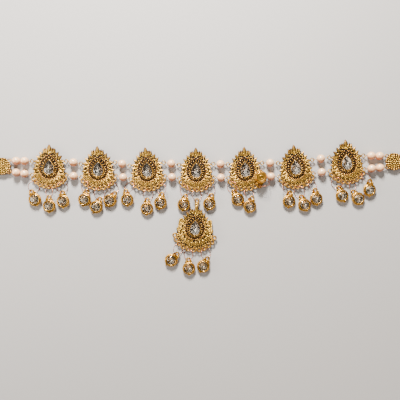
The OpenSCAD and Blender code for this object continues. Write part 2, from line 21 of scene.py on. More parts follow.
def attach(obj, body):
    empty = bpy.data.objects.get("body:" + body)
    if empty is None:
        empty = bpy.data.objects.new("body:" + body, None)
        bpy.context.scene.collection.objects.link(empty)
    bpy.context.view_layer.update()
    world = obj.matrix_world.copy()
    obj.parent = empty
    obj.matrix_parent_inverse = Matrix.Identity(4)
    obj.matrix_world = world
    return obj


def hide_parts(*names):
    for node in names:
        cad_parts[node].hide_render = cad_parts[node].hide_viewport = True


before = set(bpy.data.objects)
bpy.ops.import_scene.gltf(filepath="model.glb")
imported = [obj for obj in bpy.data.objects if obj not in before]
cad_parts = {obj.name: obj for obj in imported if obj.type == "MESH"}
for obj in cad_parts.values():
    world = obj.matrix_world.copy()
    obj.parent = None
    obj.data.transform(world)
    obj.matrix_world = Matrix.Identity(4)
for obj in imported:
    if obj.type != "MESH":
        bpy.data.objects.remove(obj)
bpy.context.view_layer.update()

LOG = logging.getLogger("belt")
MM = 0.001
Outline = list[Vector]
Colour = tuple[float, float, float]
Sockets = dict[str | int, object]
SIDES = (-1, 1)
LEAF_POINT = 0.9
STONE_POINT = 0.7
CUP_SIDES = 48
GLASS, FOIL, GIRDLE = range(3)
ORIGIN = Vector((0, 0))
SEED = 7


class Slot(Enum):
    """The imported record's material slots."""

    PLAQUE = "plaque_gold"
    CUP = "cup_gold"
    RING = "ring_wire"
    PIN = "pin_wire"
    FLOWER = "flower_gold"
    CHAIN = "chain_gold"
    CLEAR = "clear_stone"
    TINTED = "tinted_stone"
    PEARL = "pearl"


def cosd(turn: float) -> float:
    """Return the cosine of a turn in degrees."""
    return cos(radians(turn))


def sind(turn: float) -> float:
    """Return the sine of a turn in degrees."""
    return sin(radians(turn))


def turned(p: Vector, turn: float) -> Vector:
    """Return a flat point turned round the origin by degrees."""
    return Vector((p.x * cosd(turn) - p.y * sind(turn), p.x * sind(turn) + p.y * cosd(turn)))


def down(turn: float) -> Vector:
    """Return the flat direction that hangs towards -Y, swung by degrees."""
    return Vector((sind(turn), -cosd(turn)))


def mirrored(p: Vector, side: float) -> Vector:
    """Return a flat point, on the other side of the Y axis where side is -1."""
    return Vector((side * p.x, p.y))


def both(points: Iterable[Vector]) -> Outline:
    """Return each flat point's image on the left and on the right."""
    return [mirrored(p, side) for p in points for side in SIDES]


def above(p: Vector, z: float) -> Vector:
    """Return the point at a height over a flat point."""
    return Vector((p.x, p.y, z))


def flat_place(p: Vector, turn: float, z: float = 0.0) -> Matrix:
    """Return the matrix that turns a piece by degrees round Z and moves it to a place."""
    return Matrix.Translation(above(p, z)) @ Matrix.Rotation(radians(turn), 4, "Z")


def steps(count: int) -> list[float]:
    """Return the turns of equal steps round a circle, in degrees."""
    return [360 * k / count for k in range(count)]


def circle(p: Vector, r: float, sides: int) -> Outline:
    """Return a circle's outline round a flat point, anticlockwise."""
    return [Vector((p.x + r * cosd(t), p.y + r * sind(t))) for t in steps(sides)]


def pear_raw(t: float, point: float) -> float:
    """Return the half width of a pear at a turn from its tip, before it is scaled."""
    return sind(t) * abs(sind(t / 2)) ** point


def pear_at(t: float, w: float, h: float, point: float) -> Vector:
    """Return a point of a pear's outline.

    Args:
        t: Turn from the tip, in degrees; 180 is the round end.
        w: Width of the pear.
        h: Height of the pear.
        point: Pointedness; 0 is an ellipse.

    Returns:
        The flat point, with the tip on +Y.
    """
    norm = max(pear_raw(s, point) for s in range(60, 153, 3))
    return Vector((w / 2 * pear_raw(t, point) / norm, h / 2 * cosd(t)))


def pear(w: float, h: float, point: float, sides: int) -> Outline:
    """Return a pear's outline, anticlockwise.

    Args:
        w: Width of the pear.
        h: Height of the pear.
        point: Pointedness; 0 is an ellipse.
        sides: Number of points.

    Returns:
        The outline round the origin.
    """
    return [pear_at(-360 * (k + 0.5) / sides, w, h, point) for k in range(sides)]


@dataclass(frozen=True)
class Lie:
    """How a plaque lies: play in the link before it, height along Y, and turn."""

    play: float
    y: float
    turn: float


@dataclass(frozen=True)
class Hang:
    """How a drop hangs: plaque, border loop, swing of its ring, its own swing, lean of the ring."""

    on: int
    loop: int
    swing: float
    hang: float
    side: int


PENDANT = 7
LIES = (
    Lie(0, 3.1, 0), Lie(0, 1.4, 2.5), Lie(0, 0.4, 5), Lie(0, 0, 1.5), Lie(0, 0.8, 2.5), Lie(1.5, 2.8, 5.5),
    Lie(1.9, 7.6, 3),
)
HANGS = (
    Hang(0, -3, -26, 22, 1), Hang(0, 0, 0, 0, -1), Hang(0, 3, 3, 3, 1),
    Hang(1, -4, 18, -14, -1), Hang(1, 0, 4, -25, 1), Hang(1, 3, 16, -35, 1),
    Hang(2, -4, -38, 8, -1), Hang(2, 0, -8, -3, 1), Hang(2, 3, 5, -11, -1),
    Hang(3, -3, 8, -11, -1), Hang(3, 3, 11, -15, 1),
    Hang(4, -4, 20, 27, -1), Hang(4, 0, 33, -14, 1),
    Hang(5, -3, 29, -4, 1), Hang(5, 0, 21, 21, -1), Hang(5, 3, 30, 7, 1),
    Hang(6, -3, 23, 23, -1), Hang(6, 1, 4, 38, 1), Hang(6, 4, 41, -2, 1),
    Hang(PENDANT, -3, -11, -46, 1), Hang(PENDANT, -1, 2, 2, -1), Hang(PENDANT, 2, 16, -28, 1),
)


@dataclass(frozen=True)
class Belt:
    """The belt's driving sizes, as in the part's source, and the places that follow from them."""

    stone_w: float = 10.0
    stone_h: float = 14.0
    drop_stone_d: float = 8.6
    crown_h: float = 1.1
    pavilion_h: float = 2.6
    girdle_rise: float = 1.2
    cup_lip: float = 0.4
    cup_bed: float = 0.3
    lug: tuple[float, float] = (16.6, 5.8)
    border: tuple[float, float] = (17.0, 14.4)
    border_drop: float = 4.4
    border_step: float = 15.6
    border_last: int = 5
    body: tuple[float, float] = (28.4, 33.0)
    tip_y: float = 22.4
    body_t: float = 1.2
    loop_t: float = 0.8
    relief_h: float = 0.4
    plate_mid: float = 3.5
    loop_r: float = 2.55
    loop_hole_r: float = 1.3
    ring_way: float = 0.95
    lug_r: float = 2.15
    lug_hole_r: float = 1.25
    cup_wall: float = 0.6
    seat_gap: float = 0.14
    spokes: int = 24
    spoke_w: float = 1.0
    spoke_l: float = 2.7
    spoke_crowd: float = 0.75
    gap_start: float = 0.5
    gap_point: float = 0.45
    pendant_grow: float = 1.15
    pearl_d: float = 8.0
    pin_r: float = 0.27
    eye_r: float = 0.97
    touch_gap: float = 0.1
    bore_gap: float = 0.12
    ring_r: float = 5.3
    ring_wire: float = 0.28
    ring_lean: float = 34.0
    drop_reach: float = 8.2
    pendant_reach: float = 26.3
    pendant_turn: float = -4.0
    pendant_swing: float = 1.0
    flip_step: tuple[float, float] = (0.4, -2.0)
    flip_hang: float = 172.0
    flip_gap: float = 0.3
    flower_r: float = 6.7
    flower_petal_r: float = 1.9
    flower_strand: float = 5.3
    flower_y: tuple[float, float] = (4.0, 8.5)
    petals: int = 10
    chain_links: int = 26
    link_wire: float = 0.55
    link_end: float = 1.75
    link_side: float = 3.2
    link_gap: float = 0.25
    link_lean: float = 60.0
    chain_fall: float = 0.16
    chain_slack: float = 0.4
    chain_hole_more: float = 0.45
    chain_loop_in: float = 0.35
    floor_gap: float = 0.1

    @property
    def girdle_z(self) -> float:
        """Height of a stone's girdle."""
        return self.plate_mid + self.girdle_rise

    @property
    def plate_low(self) -> float:
        """Height of a casting's underside."""
        return self.plate_mid - self.body_t / 2

    @property
    def plate_top(self) -> float:
        """Height of a casting's upper face."""
        return self.plate_mid + self.body_t / 2

    @property
    def loop_low(self) -> float:
        """Height of the underside of a loop's plate."""
        return self.plate_mid - self.loop_t / 2

    @property
    def loop_top(self) -> float:
        """Height of the upper face of a loop's plate."""
        return self.loop_low + self.loop_t

    @property
    def cup_top(self) -> float:
        """Height of the rim of a stone's cup."""
        return self.girdle_z + self.cup_lip

    @property
    def cup_floor(self) -> float:
        """Height of the floor of a stone's cup."""
        return self.girdle_z - self.pavilion_h - self.cup_bed

    @property
    def stone_top(self) -> float:
        """Height of a stone's table."""
        return self.girdle_z + self.crown_h

    @property
    def cup_size(self) -> Vector:
        """Outer width and height of a pear stone's cup."""
        grow = 2 * (self.seat_gap + self.cup_wall)
        return Vector((self.stone_w + grow, self.stone_h + grow))

    @property
    def top_lug(self) -> Vector:
        """Place of a plaque's upper right lug."""
        return Vector(self.lug)

    @property
    def low_lug(self) -> Vector:
        """Place of a plaque's lower right lug, the last border loop."""
        return self.border_hole(self.border_last)

    @property
    def lug_mid(self) -> float:
        """Radius of the middle of a lug's metal."""
        return (self.lug_hole_r + self.lug_r) / 2

    @property
    def eye_out(self) -> float:
        """Distance from a lug's hole to the first pearl on its pin."""
        return self.lug_mid + self.eye_r + self.pin_r + self.touch_gap

    @property
    def one_span(self) -> float:
        """Length of a pin with one pearl, hole to hole."""
        return self.pearl_d + 2 * self.eye_out

    @property
    def two_span(self) -> float:
        """Length of a pin with two pearls, hole to hole."""
        return 2 * self.pearl_d + self.touch_gap + 2 * self.eye_out

    @property
    def flower_lug_x(self) -> float:
        """Distance from a flower's middle line to its lugs."""
        return sqrt((self.flower_r + self.flower_petal_r) ** 2 - self.flower_strand**2)

    @property
    def chain_hole_r(self) -> float:
        """Radius of the hole of the loop that holds a chain."""
        return self.lug_hole_r + self.chain_hole_more

    @property
    def flower_loop_x(self) -> float:
        """Distance from an outer flower's middle to its chain's loop."""
        return self.flower_r + self.flower_petal_r + self.chain_hole_r - self.chain_loop_in

    @property
    def link_pitch(self) -> float:
        """Distance from one chain link to the next."""
        return self.link_side + 2 * self.link_end - 2 * self.link_wire - self.link_gap

    @property
    def flip_z(self) -> float:
        """Height of the base of the drop that lies face down."""
        return self.plate_top + self.relief_h + self.flip_gap + self.stone_top

    def border_hole(self, k: float, grow: float = 1.0) -> Vector:
        """Return the place of a border loop's hole, counted from the middle one.

        Args:
            k: The loop, counted to the right from the middle one.
            grow: Growth of the border.

        Returns:
            The flat place on the plaque.
        """
        t = k * self.border_step
        a, b = self.border
        return grow * Vector((a * sind(t), -self.border_drop - b * cosd(t)))

    def round_cup(self, t: float, r: float = 0.0) -> Vector:
        """Return a point at a distance outside the line where the spoke gaps start."""
        size = self.cup_size + 2 * self.gap_start * Vector((1, 1))
        return pear_at(t, size.x, size.y, self.gap_point) + r * Vector((sind(t), cosd(t)))

    def spoke_turn(self, k: float) -> float:
        """Return the turn from the tip of a spoke, counted from the tip."""
        return 180 * (k / (self.spokes / 2)) ** self.spoke_crowd

    def spacing(self, i: int) -> float:
        """Return the distance from the plaque before to plaque i."""
        runs = [
            turned(lug, LIES[i - 1].turn).x - turned(mirrored(lug, -1), LIES[i].turn).x
            for lug in (self.top_lug, self.low_lug)
        ]
        return self.one_span + max(runs) + LIES[i].play

    def plaque_place(self, i: int) -> Vector:
        """Return the place of a plaque's middle.

        Args:
            i: Number of the plaque, or PENDANT.

        Returns:
            The flat place on the belt.
        """
        if i == PENDANT:
            bail = turned(self.border_hole(0), LIES[3].turn) + 2 * self.ring_r * down(self.pendant_swing)
            return bail + self.pendant_reach * down(self.pendant_turn)
        x = sum(self.spacing(n) for n in range(4, i + 1)) - sum(self.spacing(n) for n in range(i + 1, 4))
        return Vector((x, LIES[i].y))

    def plaque_turn(self, i: int) -> float:
        """Return the turn of a plaque."""
        return self.pendant_turn if i == PENDANT else LIES[i].turn

    def on_plaque(self, i: int, p: Vector) -> Vector:
        """Return the place on the belt of a point of a plaque."""
        return self.plaque_place(i) + turned(p, self.plaque_turn(i))

    def hang_hole(self, i: int, k: float) -> Vector:
        """Return the place on the belt of a plaque's border hole."""
        return self.on_plaque(i, self.border_hole(k, self.pendant_grow if i == PENDANT else 1))

    def drop_matrices(self) -> list[Matrix]:
        """Return the place of each drop, the face-down one last.

        Returns:
            A matrix in millimetres for each drop.
        """
        places = []
        for d in HANGS:
            bail = self.hang_hole(d.on, d.loop) + 2 * self.ring_r * down(d.swing)
            places.append(flat_place(bail + self.drop_reach * down(d.hang), d.hang))
        bail = self.hang_hole(4, 3) + Vector(self.flip_step)
        flip = flat_place(bail + self.drop_reach * down(self.flip_hang), self.flip_hang, self.flip_z)
        return places + [flip @ Matrix.Rotation(pi, 4, "Y")]

    def ring_matrices(self) -> list[Matrix]:
        """Return the place of each jump ring.

        Returns:
            A matrix in millimetres for each ring; the last one holds the face-down drop.
        """
        hangs = [(self.hang_hole(d.on, d.loop), d.swing, d.side) for d in HANGS]
        hangs.append((self.hang_hole(3, 0), self.pendant_swing, 1))
        places = []
        for hole, swing, side in hangs:
            fall = Matrix.Translation((0, -self.ring_r, self.plate_mid))
            lean = Matrix.Rotation(radians(side * self.ring_lean), 4, "Y")
            places.append(flat_place(hole, swing) @ fall @ lean)
        hole = above(self.hang_hole(4, 3), self.plate_mid)
        bail = above(self.hang_hole(4, 3) + Vector(self.flip_step), self.flip_z - self.plate_mid)
        step = Vector(self.flip_step).normalized()
        level = Vector((-step.y, step.x, 0))
        along = (bail - hole).normalized()
        middle = (hole + bail) / 2 + sqrt(self.ring_r**2 - ((bail - hole).length / 2) ** 2) * level
        turn = Matrix((level, along, level.cross(along))).transposed().to_4x4()
        return places + [Matrix.Translation(middle) @ turn]

    def end_y(self, side: int) -> float:
        """Return the height along Y of the flowers at one end: -1 is the left and 1 the right."""
        return self.flower_y[0 if side < 0 else 1]

    def end_lug(self, side: int, lug: Vector) -> Vector:
        """Return the place of a lug of the last plaque at one end."""
        return self.on_plaque(0 if side < 0 else 6, mirrored(lug, side))

    def flower_x(self, side: int, outer: bool) -> float:
        """Return the place along X of a flower.

        Args:
            side: -1 for the left end and 1 for the right.
            outer: Whether it is the outer flower.

        Returns:
            The place along X.
        """
        reach = max(side * self.end_lug(side, lug).x for lug in (self.top_lug, self.low_lug))
        inner = reach + self.two_span + self.flower_lug_x
        return side * (inner + (self.two_span + 2 * self.flower_lug_x if outer else 0))

    def flower_lug(self, side: int, outer: bool, facing: int, row: int) -> Vector:
        """Return the place of a flower's lug."""
        x = self.flower_x(side, outer) + facing * self.flower_lug_x
        return Vector((x, self.end_y(side) + row * self.flower_strand))

    def strand(self, row: int) -> list[tuple[Vector, Vector, int]]:
        """Return the pins of a strand.

        Args:
            row: 1 is the upper strand and -1 the lower.

        Returns:
            For each pin its two holes and its number of pearls.
        """
        lug = self.top_lug if row > 0 else self.low_lug
        pins = [
            (self.on_plaque(i - 1, lug), self.on_plaque(i, mirrored(lug, -1)), 1) for i in range(1, PENDANT)
        ]
        for side in SIDES:
            near, far = (self.flower_lug(side, False, facing, row) for facing in (-side, side))
            pins.append((self.end_lug(side, lug), near, 2))
            pins.append((far, self.flower_lug(side, True, -side, row), 2))
        return pins

    def loop(self) -> "Patch":
        """Return the thick rounded ring of a border loop or a bail, which closes in on its jump ring."""
        half = (self.loop_r - self.ring_way) / 2
        return torus(self.ring_way + half, half, 0.45, 26, 12, 0.35)

    def bail_plate(self, hole: Vector, neck: Sequence[tuple[float, float]], tone: float) -> "Patch":
        """Return the flat plate of a bail and its neck.

        Args:
            hole: Middle of its hole.
            neck: Corners of its neck.
            tone: Tone of its gold.

        Returns:
            The plate, with even wear and painted shading.
        """
        lines = [circle(hole, self.loop_r, 28), [Vector(p) for p in neck]]
        hollow = circle(hole, self.loop_hole_r, 26)
        return plate(lines, [hollow], self.loop_low, self.loop_top).worn_and_shaded(0.5, tone)

    def chain_joint(self, side: int, n: int) -> Vector:
        """Return the joint before link n of a chain.

        Args:
            side: -1 for the left end and 1 for the right.
            n: Number of the link, counted from the flower.

        Returns:
            The place on the belt.
        """
        s = n * self.link_pitch
        low = self.link_end * sind(self.link_lean) + self.link_wire + self.floor_gap
        start = self.flower_loop_x + self.chain_hole_r - self.chain_slack
        x = self.flower_x(side, True) + side * (start + s)
        return Vector((x, self.end_y(side), max(low, self.plate_mid - self.chain_fall * s)))


class Patch:
    """The points and faces of a mesh that is being made, with the wear and painted shading, and the painted
    tint and shade, of each point.
    """

    def __init__(self) -> None:
        """Start an empty patch."""
        self.points: list[Vector] = []
        self.faces: list[tuple[int, ...]] = []
        self.wear: list[float] = []
        self.tone: list[float] = []

    def add(
        self, points: Sequence[Vector], faces: Iterable[Sequence[int]], wear: Sequence[float],
        tone: Sequence[float],
    ) -> "Patch":
        """Add points and the faces on them.

        Args:
            points: New points.
            faces: Faces, counted from the first new point.
            wear: Wear and painted shading of each point.
            tone: Painted tint and shade of each point.

        Returns:
            This patch.
        """
        start = len(self.points)
        self.points += points
        self.wear += wear
        self.tone += tone
        self.faces += [tuple(start + k for k in f) for f in faces]
        return self

    def join(self, other: "Patch", place: Matrix | None = None) -> "Patch":
        """Add a copy of another patch, moved to a place."""
        points = other.points if place is None else [place @ p for p in other.points]
        return self.add(points, other.faces, other.wear, other.tone)

    def worn_and_shaded(self, wear: float, tone: float) -> "Patch":
        """Give every point the same wear and painted shading, and the same painted tint and shade.

        Args:
            wear: The wear and painted shading.
            tone: The painted tint and shade.
            tone: The tone.

        Returns:
            This patch.
        """
        self.wear = [wear] * len(self.points)
        self.tone = [tone] * len(self.points)
        return self

    def mesh(self, name: str, smooth: bool = True) -> bpy.types.Mesh:
        """Return the patch as a mesh in metres.

        Args:
            name: Name of the mesh.
            smooth: Whether its faces are shaded smooth.

        Returns:
            The mesh, with wear and tone as attributes of its points.
        """
        mesh = bpy.data.meshes.new(name)
        mesh.from_pydata([p * MM for p in self.points], [], self.faces)
        for key, values in (("wear", self.wear), ("tone", self.tone)):
            mesh.attributes.new(key, "FLOAT", "POINT").data.foreach_set("value", values)
        mesh.polygons.foreach_set("use_smooth", [smooth] * len(mesh.polygons))
        mesh.update()
        return mesh

    @classmethod
    def of_mesh(cls, mesh: bpy.types.Mesh) -> "Patch":
        """Return a mesh in metres as a patch in millimetres, and remove the mesh.

        Args:
            mesh: The mesh.

        Returns:
            The patch, with the wear and tone that the mesh has.
        """
        patch = cls()
        points = [v.co / MM for v in mesh.vertices]
        values = {}
        for key in ("wear", "tone"):
            values[key] = [0.5] * len(points)
            if key in mesh.attributes:
                mesh.attributes[key].data.foreach_get("value", values[key])
        patch.add(points, [tuple(f.vertices) for f in mesh.polygons], values["wear"], values["tone"])
        bpy.data.meshes.remove(mesh)
        return patch


def grid(
    rows: Sequence[Sequence[Vector]], wear: Sequence[float], tone: float = 0.0, loop: bool = True,
    capped: tuple[bool, bool] = (False, False),
) -> Patch:
    """Return rows of points joined by faces.

    Args:
        rows: Rows of equal length. With anticlockwise rows from the top down, faces look outward.
        wear: Wear and painted shading of each row.
        tone: Painted tint and shade of all points.
        loop: Whether the last row joins the first.
        capped: Whether the first and the last row are closed by a face.

    Returns:
        The patch; every row is closed round.
    """
    n, m = len(rows), len(rows[0])
    points = [p for row in rows for p in row]
    faces = [
        (r * m + k, (r + 1) % n * m + k, (r + 1) % n * m + (k + 1) % m, r * m + (k + 1) % m)
        for r in range(n if loop else n - 1)
        for k in range(m)
    ]
    if capped[0]:
        faces.append(tuple(range(m)))
    if capped[1]:
        faces.append(tuple(reversed(range((n - 1) * m, n * m))))
    return Patch().add(points, faces, [w for w in wear for _ in range(m)], [tone] * len(points))


def torus(r: float, wire: float, rise: float, sides: int, wire_sides: int, tone: float) -> Patch:
    """Return a lying ring round the origin.

    Args:
        r: Radius to the middle of its wire.
        wire: Half width of its wire.
        rise: Half height of its wire.
        sides: Number of sides round the ring.
        wire_sides: Number of sides round the wire.
        tone: Tone of its gold.

    Returns:
        The ring, with its wear and painted highlight highest on top.
    """
    turns = steps(wire_sides)
    rows = [
        [above(p, rise * sind(t)) for p in circle(ORIGIN, r + wire * cosd(t), sides)] for t in turns
    ]
    return grid(list(reversed(rows)), [0.25 + 0.55 * max(0.0, sind(t)) for t in reversed(turns)], tone)


def tube(
    path: Sequence[Vector], radii: Sequence[float], sides: int, tone: float, wear: float = 0.85
) -> Patch:
    """Return a round wire along an open path that lies nearly level.

    Args:
        path: Middle line.
        radii: Radius at each of its points.
        sides: Number of sides.
        tone: Tone of its gold.
        wear: Wear and painted highlight of its upper side.

    Returns:
        The wire with closed ends.
    """
    rows = []
    for n, (p, r) in enumerate(zip(path, radii)):
        run = (path[min(n + 1, len(path) - 1)] - path[max(n - 1, 0)]).normalized()
        side = run.cross(Vector((0, 0, 1))).normalized()
        up = side.cross(run)
        rows.append([p + r * (cosd(t) * side + sind(t) * up) for t in steps(sides)])
    patch = grid(rows, [0.0] * len(rows), tone, False, (True, True))
    spans = [(p.z, r) for p, r in zip(path, radii) for _ in range(sides)]
    patch.wear = [wear * (0.3 + 0.7 * max(0.0, (p.z - z) / r)) for p, (z, r) in zip(patch.points, spans)]
    return patch


def granule(r: float, h: float, tone: float, sides: int = 10) -> Patch:
    """Return a domed grain on the origin's level.

    Args:
        r: Radius of its foot.
        h: Height.
        tone: Tone of its gold.
        sides: Number of its sides.

    Returns:
        The grain.
    """
    rises = (75, 45, 15, 0)
    rows = [[above(p, h * sind(t)) for p in circle(ORIGIN, r * cosd(t), sides)] for t in rises]
    # Wear and painted highlight on the top, painted shade at the foot.
    return grid(rows, (1.0, 0.85, 0.4, 0.1), tone, False, (True, False))


def leaf_dome(w: float, l: float, h: float, tone: float, tip_tone: float, sides: int = 14) -> Patch:
    """Return a ridged leaf.

    Args:
        w: Width.
        l: Length.
        h: Height of its ridge.
        tone: Tone of its foot.
        tip_tone: Tone of its tip.
        sides: Number of points of its outline.

    Returns:
        The leaf on the origin's level, with its tip at the origin and its foot on -Y.
    """
    line = pear(w, l, LEAF_POINT, sides)
    shares = ((0.06, 1.0), (0.5, 0.85), (0.86, 0.4), (1.0, 0.0))
    rows = []
    for share, rise in shares:
        shrink = 1 - 0.22 * (1 - share)
        rows.append([Vector((p.x * share, p.y * shrink - l / 2, h * rise)) for p in line])
    # Wear and painted highlight on the ridge, painted shade at the foot; the painted pinkish highlight
    # grows from the foot's share to tip_tone at the tip.
    patch = grid(rows, (1.0, 0.75, 0.35, 0.1), 0.0, False, (True, False))
    patch.tone = [tone + (tip_tone - tone) * max(0.0, 1 + 1.6 * p.y / l) for p in patch.points]
    return patch


def plate(
    shapes: Sequence[Outline], holes: Sequence[Outline], low: float, top: float, tone: float = 0.0,
    chamfer: float = 0.13,
) -> Patch:
    """Return a flat casting with its holes cut through and its edges broken.

    Args:
        shapes: Anticlockwise outlines that are joined.
        holes: Anticlockwise outlines that are cut away.
        low: Height of the underside.
        top: Height of the upper face.
        tone: Tone of its edges.
        chamfer: Width of the broken edge.

    Returns:
        The plate as a closed surface.
    """
    loops = [*shapes, *holes]
    flat, faces = [], []
    for loop in loops:
        faces.append(list(range(len(flat), len(flat) + len(loop))))
        flat += [Vector((p.x, p.y)) for p in loop]
    spots, _, cells, _, _, origins = delaunay_2d_cdt(flat, [], faces, 0, 1e-4)
    solid, gap = set(range(len(shapes))), set(range(len(shapes), len(loops)))
    kept = []
    for cell, origin in zip(cells, origins):
        if solid & set(origin) and not gap & set(origin):
            a, b, c = (spots[k] for k in cell)
            right = (b - a).cross(c - a) > 0
            kept.append(tuple(cell) if right else tuple(reversed(cell)))
    sides = {(f[k], f[(k + 1) % 3]) for f in kept for k in range(3)}
    edges = sorted((a, b) for a, b in sides if (b, a) not in sides)
    lean: dict[int, Vector] = {}
    for a, b in edges:
        run = (spots[b] - spots[a]).normalized()
        for k in (a, b):
            lean[k] = lean.get(k, ORIGIN) + Vector((-run.y, run.x))
    used = sorted({k for f in kept for k in f})
    # Inset, height and wear of each ring: the upper face gets 0, painted shade as in a recess, and the
    # broken edge is lighter.
    levels = (
        (0.0, low, 0.0), (0.0, top - chamfer, 0.15), (chamfer, top, 0.42), (2.2 * chamfer, top - 0.05, 0.0),
    )
    points, wear, index = [], [], {}
    for n, (inset, z, value) in enumerate(levels):
        for k in used:
            if k not in lean and n in (1, 2):
                continue
            step = lean[k].normalized() * inset if k in lean else ORIGIN
            index[n, k] = len(points)
            points.append(above(spots[k] + step, z))
            wear.append(value)
    out = [tuple(index[3, k] for k in f) for f in kept]
    out += [tuple(index[0, k] for k in reversed(f)) for f in kept]
    for n in range(3):
        out += [(index[n, a], index[n, b], index[n + 1, b], index[n + 1, a]) for a, b in edges]
    return Patch().add(points, out, wear, [tone if w > 0.2 else 0.0 for w in wear])


def linked(name: str, mesh: bpy.types.Mesh) -> bpy.types.Object:
    """Return a new object with a mesh, in the scene.

    Args:
        name: Name of the object.
        mesh: Its mesh.

    Returns:
        The object.
    """
    obj = bpy.data.objects.new(name, mesh)
    bpy.context.scene.collection.objects.link(obj)
    return obj


@dataclass(frozen=True)
class Stamp:
    """A place for a copy of a small shape, with its turn in degrees."""

    at: Vector
    turn: tuple[float, float, float]

    @classmethod
    def flat(cls, p: Vector, z: float, turn: float = 0.0) -> "Stamp":
        """Return the place at a height over a flat point, turned round Z."""
        return cls(above(p, z), (0.0, 0.0, turn))


class NodeTree:
    """A node tree that is filled by one method."""

    def __init__(self, tree: bpy.types.NodeTree) -> None:
        """Take the tree that is filled."""
        self.tree = tree

    def node(self, kind: str, settings: dict[str, object], sockets: Sockets) -> bpy.types.Node:
        """Add a node.

        Args:
            kind: The node's type.
            settings: Its settings, which are set first; "stops" are a ramp's positions and colours.
            sockets: Values, wrapped values or output sockets for its inputs.

        Returns:
            The node.
        """
        node = self.tree.nodes.new(kind)
        for key, value in settings.items():
            if key == "stops":
                stops = node.color_ramp.elements
                while len(stops) < len(value):
                    stops.new(0.5)
                for stop, (at, colour) in zip(stops, value):
                    stop.position = at
                    stop.color = (*colour, 1.0)
            else:
                setattr(node, key, value)
        for key, value in sockets.items():
            if isinstance(value, Value):
                value = value.socket
            if isinstance(value, bpy.types.NodeSocket):
                self.tree.links.new(value, node.inputs[key])
            else:
                node.inputs[key].default_value = value
        return node


class GeometryTree(NodeTree):
    """A Geometry Nodes tree that is made here, run on a mesh and turned into a patch."""

    def __init__(self, name: str, inputs: dict[str, str]) -> None:
        """Start a tree with a geometry input and output and some named inputs.

        Args:
            name: Name of the tree.
            inputs: The type of socket of each named input.
        """
        super().__init__(bpy.data.node_groups.new(name, "GeometryNodeTree"))
        face = self.tree.interface
        for way in ("OUTPUT", "INPUT"):
            face.new_socket(name="Geometry", in_out=way, socket_type="NodeSocketGeometry")
        self.keys = {
            key: face.new_socket(name=key, in_out="INPUT", socket_type=kind).identifier
            for key, kind in inputs.items()
        }
        self.given = self.node("NodeGroupInput", {}, {})

    def close(self, geometry: bpy.types.NodeSocket) -> None:
        """End the tree in Realize Instances and Set Material.

        Args:
            geometry: What the tree has made.
        """
        real = self.node("GeometryNodeRealizeInstances", {}, {"Geometry": geometry})
        sockets = {"Geometry": real.outputs[0], "Material": self.given.outputs["Finish"]}
        dressed = self.node("GeometryNodeSetMaterial", {}, sockets)
        self.node("NodeGroupOutput", {}, {"Geometry": dressed.outputs[0]})

    def run(self, mesh: bpy.types.Mesh, values: dict[str, object]) -> Patch:
        """Run the tree on a mesh.

        Args:
            mesh: The mesh that it works on.
            values: Values of its named inputs.

        Returns:
            The result as a patch.
        """
        obj = linked("work", mesh)
        modifier = obj.modifiers.new("work", "NODES")
        modifier.node_group = self.tree
        for key, value in values.items():
            modifier[self.keys[key]] = value
        graph = bpy.context.evaluated_depsgraph_get()
        result = bpy.data.meshes.new_from_object(obj.evaluated_get(graph))
        bpy.data.objects.remove(obj)
        bpy.data.meshes.remove(mesh)
        return Patch.of_mesh(result)


class Scatter(GeometryTree):
    """Copies a small shape to many places."""

    def __init__(self) -> None:
        """Make the tree."""
        inputs = {"Shape": "NodeSocketObject", "Finish": "NodeSocketMaterial"}
        inputs |= {"Unevenness": "NodeSocketFloat", "Seed": "NodeSocketInt"}
        super().__init__("Scatter", inputs)
        given = self.given.outputs
        shape = self.node("GeometryNodeObjectInfo", {}, {"Object": given["Shape"]})
        turn = self.node("GeometryNodeInputNamedAttribute", {"data_type": "FLOAT_VECTOR"}, {"Name": "turn"})
        least, most = (
            self.node("ShaderNodeMath", {"operation": way}, {0: 1.0, 1: given["Unevenness"]}).outputs[0]
            for way in ("SUBTRACT", "ADD")
        )
        sockets = {2: least, 3: most, "Seed": given["Seed"]}
        vary = self.node("FunctionNodeRandomValue", {"data_type": "FLOAT"}, sockets)
        sockets = {"Points": given["Geometry"], "Instance": shape.outputs["Geometry"]}
        sockets |= {"Rotation": turn.outputs[0], "Scale": vary.outputs[1]}
        copies = self.node("GeometryNodeInstanceOnPoints", {}, sockets)
        self.close(copies.outputs[0])

    def place(self, shape: Patch, stamps: Sequence[Stamp], unevenness: float = 0.0) -> Patch:
        """Return copies of a shape.

        Args:
            shape: The shape, round the origin.
            stamps: The place of each copy.
            unevenness: Share by which the copies differ in size.

        Returns:
            All copies in one patch.
        """
        spots = bpy.data.meshes.new("spots")
        spots.from_pydata([s.at * MM for s in stamps], [], [])
        turns = [radians(a) for s in stamps for a in s.turn]
        spots.attributes.new("turn", "FLOAT_VECTOR", "POINT").data.foreach_set("vector", turns)
        source = linked("shape", shape.mesh("shape"))
        patch = self.run(spots, {"Shape": source, "Finish": None, "Unevenness": unevenness, "Seed": SEED})
        mesh = source.data
        bpy.data.objects.remove(source)
        bpy.data.meshes.remove(mesh)
        return patch


